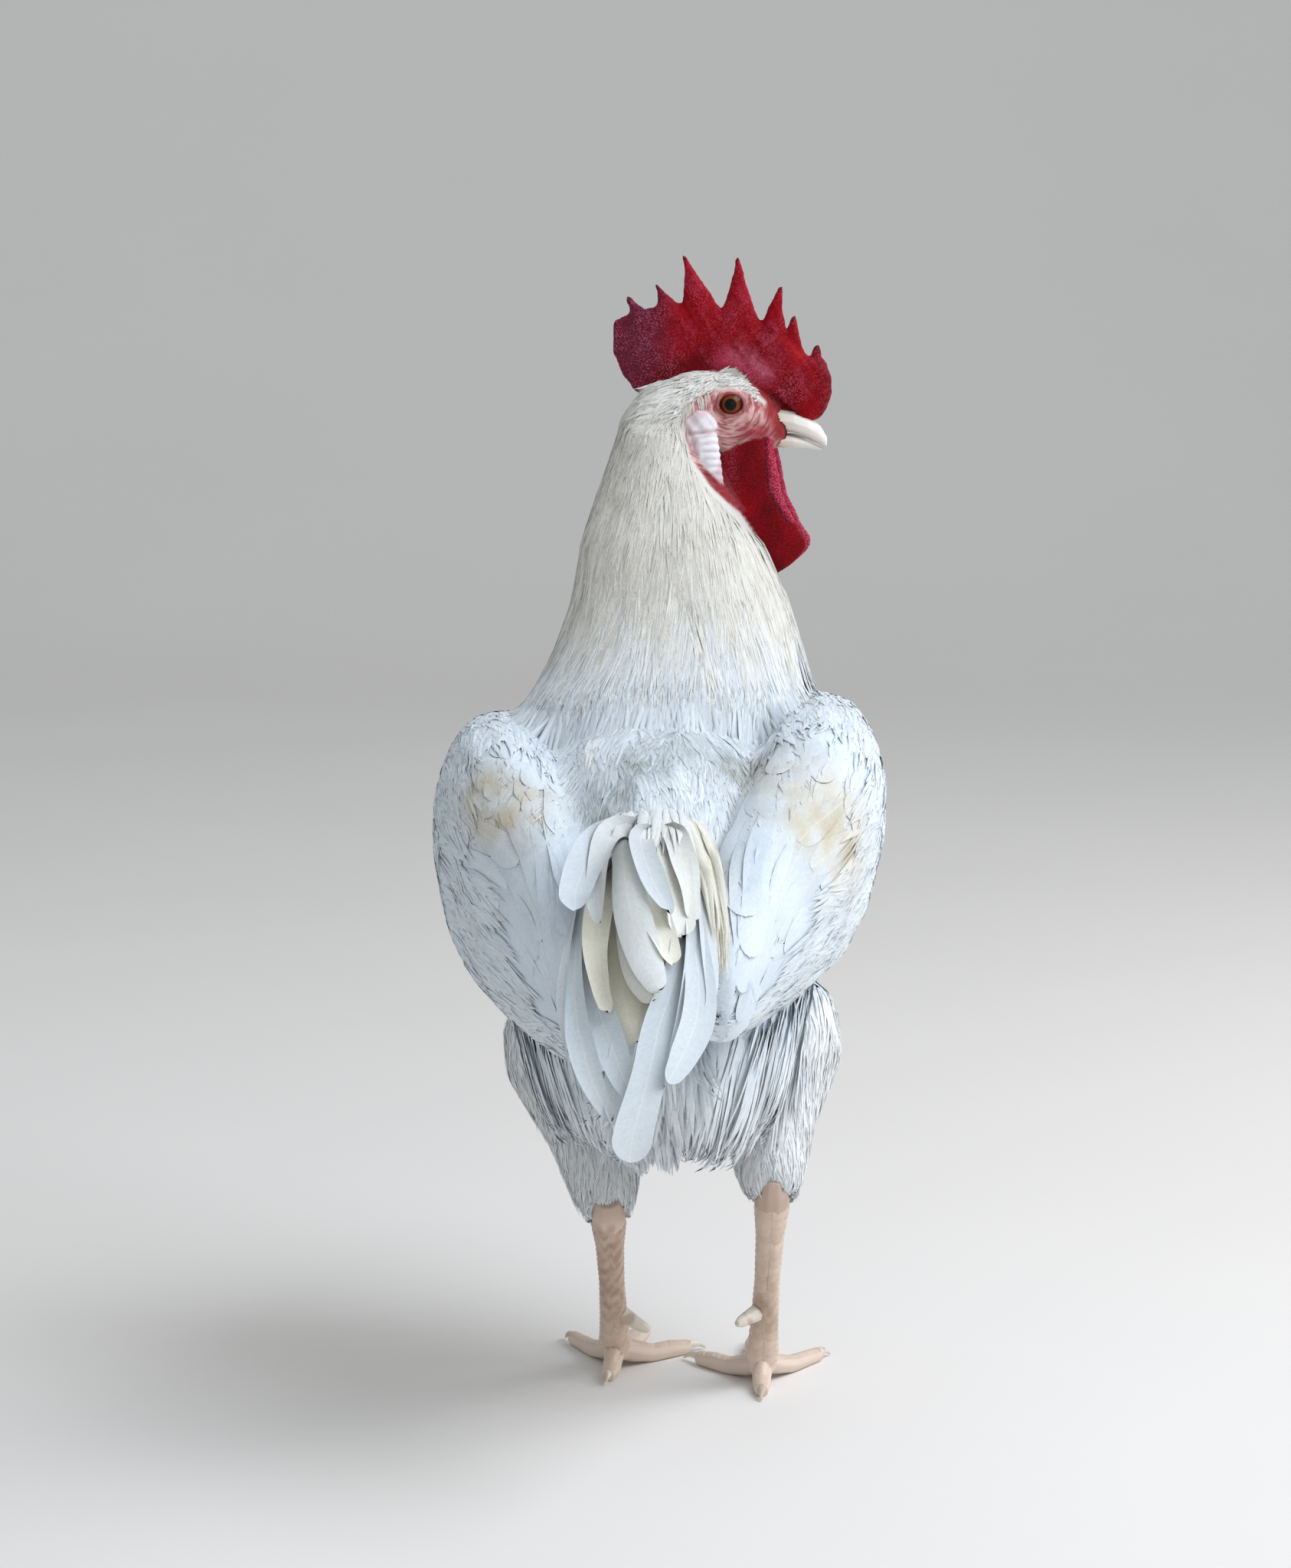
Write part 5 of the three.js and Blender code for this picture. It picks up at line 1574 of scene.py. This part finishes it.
# %% Lay the tail feathers
TAIL = {
    # cream, camber, fray at the end, then the places: x, y, z, half width, roll
    "front sickle": (0.0, 0.16, 0.0, [
        (6, -119, 284, 4, 50), (11, -165, 270, 6.5, 50), (9.5, -200, 245, 8, 34), (0, -226, 219, 8, 10),
        (-5, -246, 200, 7.6, 4), (-11, -261, 180, 8.6, 0), (-13, -269, 168, 8.6, 0),
    ]),
    "sickle's edge": (0.0, 0.2, 0.003, [
        (8, -119, 283, 3, 60), (13, -185, 257, 5, 60), (10, -220, 224, 4.5, 50), (4, -244, 203, 2.6, 40),
        (2, -249, 197, 1.5, 40),
    ]),
    "right sickle": (0.0, 0.3, 0.002, [
        (9, -119, 284, 4, 50), (12, -155, 275, 5, 45), (14.5, -180, 256, 6, 30),
        (17.5, -206, 235, 7.4, 22), (16, -224, 221, 7.8, 16), (9.5, -240, 208, 6.5, 10),
        (3.5, -250, 199, 4, 10),
    ]),
    "right blade": (0.0, 0.3, 0.003, [
        (11, -119, 284, 4, 50), (17, -155, 273, 4.5, 55), (21, -185, 250, 4.5, 50),
        (22, -206, 230, 4, 45), (17, -222, 217, 2.5, 40),
    ]),
    "outer blade": (0.0, 0.3, 0.002, [
        (-12, -119, 284, 3, -40), (-30, -150, 276, 3, -60), (-36.5, -180, 252, 4, -45),
        (-37, -208, 226, 5.8, -22), (-33, -228, 208, 6.2, -8), (-28, -241, 195, 5, 0),
        (-20.5, -250, 182, 2.5, 0),
    ]),
    "inner blade": (0.0, 0.3, 0.002, [
        (-10, -119, 284, 3, -40), (-26, -150, 274, 3.5, -45), (-31.5, -178, 250, 5.5, -28),
        (-28, -205, 228, 7.6, -12), (-22, -222, 213, 7.6, -5), (-16, -238, 200, 6, 0),
        (-10, -249, 190, 3.5, 0),
    ]),
    "thin blade": (0.0, 0.2, 0.003, [
        (-14, -119, 284, 2, -60), (-32, -150, 274, 2, -60), (-39.5, -180, 252, 2.4, -50),
        (-43, -205, 228, 2.2, -45), (-41, -225, 211, 1.8, -45), (-37, -240, 196, 1, -45),
    ]),
    "tip behind": (0.0, 0.2, 0.003, [
        (-6, -150, 270, 3, 0), (-16, -215, 215, 5, 20), (-20, -240, 190, 5.5, 30),
        (-17, -252, 178, 4, 35),
    ]),
    "left covert": (0.0, 0.45, 0.003, [
        (-12, -122, 290, 6, -10), (-24, -145, 290, 8, -20), (-32, -165, 283, 8.5, -15),
        (-37, -180, 272, 7.5, -5), (-37.5, -187, 264, 6, 0),
    ]),
    "second left covert": (0.1, 0.45, 0.003, [
        (-10, -122, 290, 6, -20), (-20, -146, 292, 7, -35), (-25, -168, 284, 6.5, -40),
        (-27, -184, 270, 5, -40), (-26, -192, 259, 3, -40),
    ]),
    "ragged covert": (0.0, 0.35, 0.01, [
        (-4, -122, 290, 5, 0), (-8, -150, 292, 5.5, 15), (-7, -172, 287, 6, 22), (-2, -188, 276, 5.6, 28),
        (4.5, -197, 265, 3.5, 30),
    ]),
    "middle covert": (0.25, 0.3, 0.01, [
        (4, -122, 288, 5, 0), (6, -155, 286, 7, 10), (8, -178, 272, 7.5, 20), (10, -196, 254, 6, 26),
    ]),
    "right covert": (0.1, 0.3, 0.01, [
        (6, -122, 290, 5, 10), (8, -150, 290, 6, 20), (12, -172, 278, 6, 30), (15, -188, 260, 4, 36),
    ]),
    "folded web": (0.15, -0.3, 0.003, [
        (-12, -122, 288, 4, -20), (-16, -150, 291, 6, -25), (-16, -172, 284, 7, -22),
        (-13, -195, 266, 8.5, -12), (-6, -213, 247, 7.5, 8), (0, -224, 235, 4, 12),
    ]),
    "folded web's lining": (0.5, 0.5, 0.003, [
        (-6, -122, 286, 4, 0), (-9, -160, 284, 7, 12), (-6, -183, 267, 8, 25), (1, -200, 253, 7, 35),
        (6, -212, 244, 4, 40),
    ]),
    "second folded web": (0.35, -0.4, 0.003, [
        (-4, -122, 284, 4, -10), (-10, -165, 276, 7, -20), (-13, -192, 258, 7.5, -18),
        (-9, -212, 241, 7, 0), (-3, -222, 230, 4, 8),
    ]),
    "inner web": (0.6, -0.35, 0.003, [
        (-8, -122, 282, 5, 0), (-15, -170, 262, 8, -10), (-17, -198, 240, 8.5, -12),
        (-14, -216, 222, 7, -10), (-10, -226, 212, 5, -6),
    ]),
    "right inner web": (0.6, 0.4, 0.003, [
        (2, -122, 282, 5, 0), (2, -170, 262, 8, 16), (0, -198, 236, 8, 16), (-3, -216, 220, 6, 10),
        (-6, -226, 210, 4, 6),
    ]),
    "left inner web": (0.6, 0.4, 0.003, [
        (-14, -122, 282, 4, -20), (-24, -165, 268, 6.5, -28), (-27, -190, 250, 6.5, -28),
        (-25, -208, 234, 5, -22), (-22, -218, 224, 3, -20),
    ]),
}


def blade(places, count):
    """A spine through the places, its outward directions, and its half widths."""
    filled = smooth_rows(places, 4 * count)
    t = np.linspace(0, 1, 4 * count)
    filled = np.stack([np.interp(stations(count), t, column) for column in filled.T], 1)
    spine, half, roll = filled[:, :3], filled[:, 3], np.radians(filled[:, 4])
    ahead = unit(np.gradient(spine, axis=0))
    across = unit(np.cross(np.array([0, -1.0, 0]), ahead))
    across = across * np.cos(roll)[:, None] - np.cross(ahead, across) * np.sin(roll)[:, None]
    left = np.linalg.norm(spine - spine[-1], axis=1)
    half = half * np.sqrt(1 - np.clip(1 - left / (half[-1] * 1.1), 0, 1) ** 2)
    return spine, unit(np.cross(across, ahead)), np.maximum(half, 0.15)


def blade_grids(places, camber, fray, random, rows=34, columns=15):
    spine, normal, half = blade(places, rows)
    ahead = unit(np.gradient(spine, axis=0))
    aside = np.cross(ahead, normal)
    share = np.linspace(-1, 1, columns)
    along = stations(rows)
    wave = 0.8 * np.sin(along * random.uniform(9, 14) + random.uniform(0, 6))[:, None] * share
    droop = camber * np.abs(share) ** 1.6 * half[:, None] + wave
    grid = spine[:, None] + aside[:, None] * (half[:, None] * share)[..., None]
    grid = grid - normal[:, None] * droop[..., None]
    length = np.linalg.norm(spine[-1] - spine[0])
    torn = random.normal(0, fray, columns) * (np.abs(share) > 0.15)
    grid = grid + ahead[:, None] * (torn * along[:, None] ** 4)[..., None] * length
    vane = np.stack([half[:, None] * share, along[:, None] * length + 0 * share], -1)
    facing = unit(normal[:, None] + 1.2 * camber * (share * np.ones((rows, 1)))[..., None] * aside[:, None])
    return grid[None], vane[None], facing[None]


random = np.random.default_rng(60)
batches = []
for cream, camber, fray, places in TAIL.values():
    shade = np.array([1.0 + random.normal(0, 0.02)])
    # Painted shade: the blades that have no cream are tinted grey, as the tail hangs in shade.
    tint = ("#f4edd2", min(cream + 0.15, 0.85)) if cream else ("#cbd2d3", 0.5)
    batches.append((*blade_grids(places, camber, fray, random), shade, tint))
coat("coat_tail", batches, FLIGHT, ((0, -110, 290), (0, -260, 190)), ["tail"], root_shade=0.2)

# %% [markdown]
# Long narrow saddle feathers, stained yellow on the right, hang down on both sides of the root of the tail.

# %% Hang the saddle feathers
random = np.random.default_rng(65)
hanging = [
    # how many, root, middle and end, spread of each, width, share of yellow
    (110, (15, -108, 304), (25, -150, 283), (27, -180, 243), (9, 5, 4), (7, 5, 6), (5, 6, 16), 4.0, 0.5),
    (120, (0, -108, 304), (2, -140, 296), (2, -160, 281), (12, 5, 3), (15, 5, 4), (16, 6, 8), 3.8, 0.15),
    (70, (-14, -108, 302), (-26, -140, 292), (-32, -162, 272), (8, 5, 3), (7, 5, 5), (7, 6, 10), 3.8, 0.15),
]
batches = []
for count, root, middle, end, root_spread, middle_spread, end_spread, width, yellow in hanging:
    jitter = random.uniform(-1, 1, (count, 1, 3))
    start, pull, stop = (
        (np.array(place, float) + (0.7 * jitter + 0.3 * random.uniform(-1, 1, (count, 1, 3))) * spread)
        for place, spread in ((root, root_spread), (middle, middle_spread), (end, end_spread))
    )
    root, root_facing = OUTLINE.nearest(start.reshape(-1, 3))
    start = (root - 3.0 * root_facing).reshape(start.shape)
    t = stations(12)[None, :, None]
    spines = (1 - t) ** 2 * start + 2 * t * (1 - t) * pull + t**2 * stop
    _, outward = OUTLINE.nearest(spines.reshape(-1, 3))
    outward = unit(0.6 * outward.reshape(spines.shape) + np.array([0, -0.6, 0.4]))
    widths = width * random.uniform(0.7, 1.3, count)
    # Painted light: the saddle feathers are painted a tenth brighter, against the shade of the wing and tail
    # they hang between.
    shade = 1.1 + random.normal(0, 0.04, count)
    tint = ("#f6ecc8", yellow)
    batches.append(feathers((spines, outward, shade), widths, random, tint, columns=5, belly=0.4, point=0.9,
                            camber=0.2, ragged=0.02))
coat("coat_saddle", batches, HACKLE, TRUNK_AXIS, root_shade=0.04)

# %% [markdown]
# ## Bristles of the head
# Tiny feathers run from the crown down to the eye, cover the ear, and stop in a clean edge round the
# earlobe and the wattle. They are 3 to 12 mm long and about 1 mm wide, and they point back and down, but
# forward above the eye. They grow straight from the finely meshed skin.


# %% Plant the bristles
def head_lie(places):
    h = in_head(places)
    forward = ramp(h[:, 2], 2, 8) * ramp(h[:, 0], -14, -4)
    way = blend(np.array([-1.0, 0, -0.75]), np.array([0.8, 0, 0.35]), forward)
    return way @ HEAD_AXES


def on_head(places):
    """Whether places on the head and the top of the neck have bristles."""
    x, _, z = in_head(places).T
    return (feathered(places) > 0.3) & (z > -70) & (x > -40) & (x < 13) & (places[:, 2] > 425)


random = np.random.default_rng(70)
roots = scatter(["head", "neck"], 1.2, random, on_head)
near_edge = ramp(-feathered(roots), -14, -1)
lengths = lengths_like(roots, 11, 4.2, near_edge, random, 0.2)
brow = ramp(in_head(roots)[:, 2], -2, 4) * ramp(in_head(roots)[:, 0], -12, 2)
lengths = lengths * (1 - 0.2 * brow * near_edge)
grown = grow(roots, head_lie, lengths, random, rows=5, surface=SKIN_SURFACE, root=0.4, sink=-0.25, lift=0.5,
             puff=0.6, cling=0.8, sway=0.2, gather=0.5, lock=4, tone=0.05)
widths = (1.5 - 0.6 * near_edge) * random.uniform(0.7, 1.3, len(roots))
shape = {"columns": 3, "belly": 0.35, "point": 0.9, "camber": 0.3, "ragged": 0.0}
bristles = feathers(grown, widths, random, ("#f6f5f0", 0.6), **shape)
coat("coat_head", [bristles], DOWN, ((8, 60, 470), (70, 80, 470)))

# %% [markdown]
# ## Floor, light and camera
# The bird stands on a plain pale floor that curves up into a wall far behind it. A wide soft light comes
# from above its right, as from a bright sky, with a weaker one on its front and a gentle warm fill beside
# the camera. The camera looks at its back from a little above, and the bird's head is turned so far that
# its right side faces it.


# %% Stage, lights and camera
def floor_material():
    material, tree, surface = new_material("painted plaster floor")
    place = add(tree, "NewGeometry").outputs["Position"]
    trowel = add(tree, "TexNoise", {"Vector": place, "Scale": 3.0, "Detail": 4.0})
    ramped = add(tree, "MapRange", {"Value": trowel.outputs[0], "To Min": 0.97, "To Max": 1.02})
    tone = {0: 1.0, 6: rgba("#e9e6e2"), 7: ramped.outputs[0]}
    tint = add(tree, "Mix", tone, data_type="RGBA", blend_type="MULTIPLY")
    tree.links.new(tint.outputs[2], surface.inputs["Base Color"])
    surface.inputs["Roughness"].default_value = 0.8
    return material


bend = np.linspace(0, np.pi / 2, 13)[1:]
NEAR_END, COVE_START, COVE_RADIUS = -4500, 2800, 1400
WALL_TOP, FLOOR_SIDE = 5000, 5000
cove = [(COVE_START + COVE_RADIUS * np.sin(b), COVE_RADIUS - COVE_RADIUS * np.cos(b)) for b in bend]
profile = [(NEAR_END, 0), (COVE_START, 0), *cove, (COVE_START + COVE_RADIUS, WALL_TOP)]
sheet = np.array([[(x, y, z) for x in (-FLOOR_SIDE, FLOOR_SIDE)] for y, z in profile], float)
floor_mesh = new_mesh("floor", sheet.reshape(-1, 3), grid_faces(len(profile), 2)[:, ::-1])
floor_mesh.materials.append(floor_material())
floor = bpy.data.objects.new("floor", floor_mesh)
bpy.context.scene.collection.objects.link(floor)


def soft_light(name, place, size, power, code):
    data = bpy.data.lights.new(name, "AREA")
    data.size = size
    data.energy = power
    data.color = tuple(linear(code))
    light = bpy.data.objects.new(name, data)
    bpy.context.scene.collection.objects.link(light)
    light.location = in_frame(place)
    aim = Vector(in_frame((0, 0, 280))) - light.location
    light.rotation_euler = aim.to_track_quat("-Z", "Y").to_euler()


soft_light("sky", (1300, -500, 2000), 1.6, 44, "#f2f6ff")
soft_light("rim", (1900, 700, 900), 1.0, 9, "#fffaf0")
soft_light("fill", (500, -2100, 900), 1.4, 4, "#fff4e8")

world = bpy.data.worlds.new("studio")
world.use_nodes = True
world.node_tree.nodes["Background"].inputs["Color"].default_value = rgba("#e6ebf0")
world.node_tree.nodes["Background"].inputs["Strength"].default_value = 0.56
bpy.context.scene.world = world
bpy.context.scene.view_settings.view_transform = "Standard"

CAMERA_PLACE = (-6, -2200, 603.6)
CAMERA_DROP = 8.0  # degrees below level
camera_data = bpy.data.cameras.new("camera")
camera_data.sensor_fit = "VERTICAL"
camera_data.sensor_height = 36
camera_data.lens = 105.47
camera = bpy.data.objects.new("camera", camera_data)
bpy.context.scene.collection.objects.link(camera)
camera.location = in_frame(CAMERA_PLACE)
camera.rotation_euler = (np.radians(90 - CAMERA_DROP), 0, 0)
bpy.context.scene.camera = camera
print("camera at", [round(v, 3) for v in camera.location])
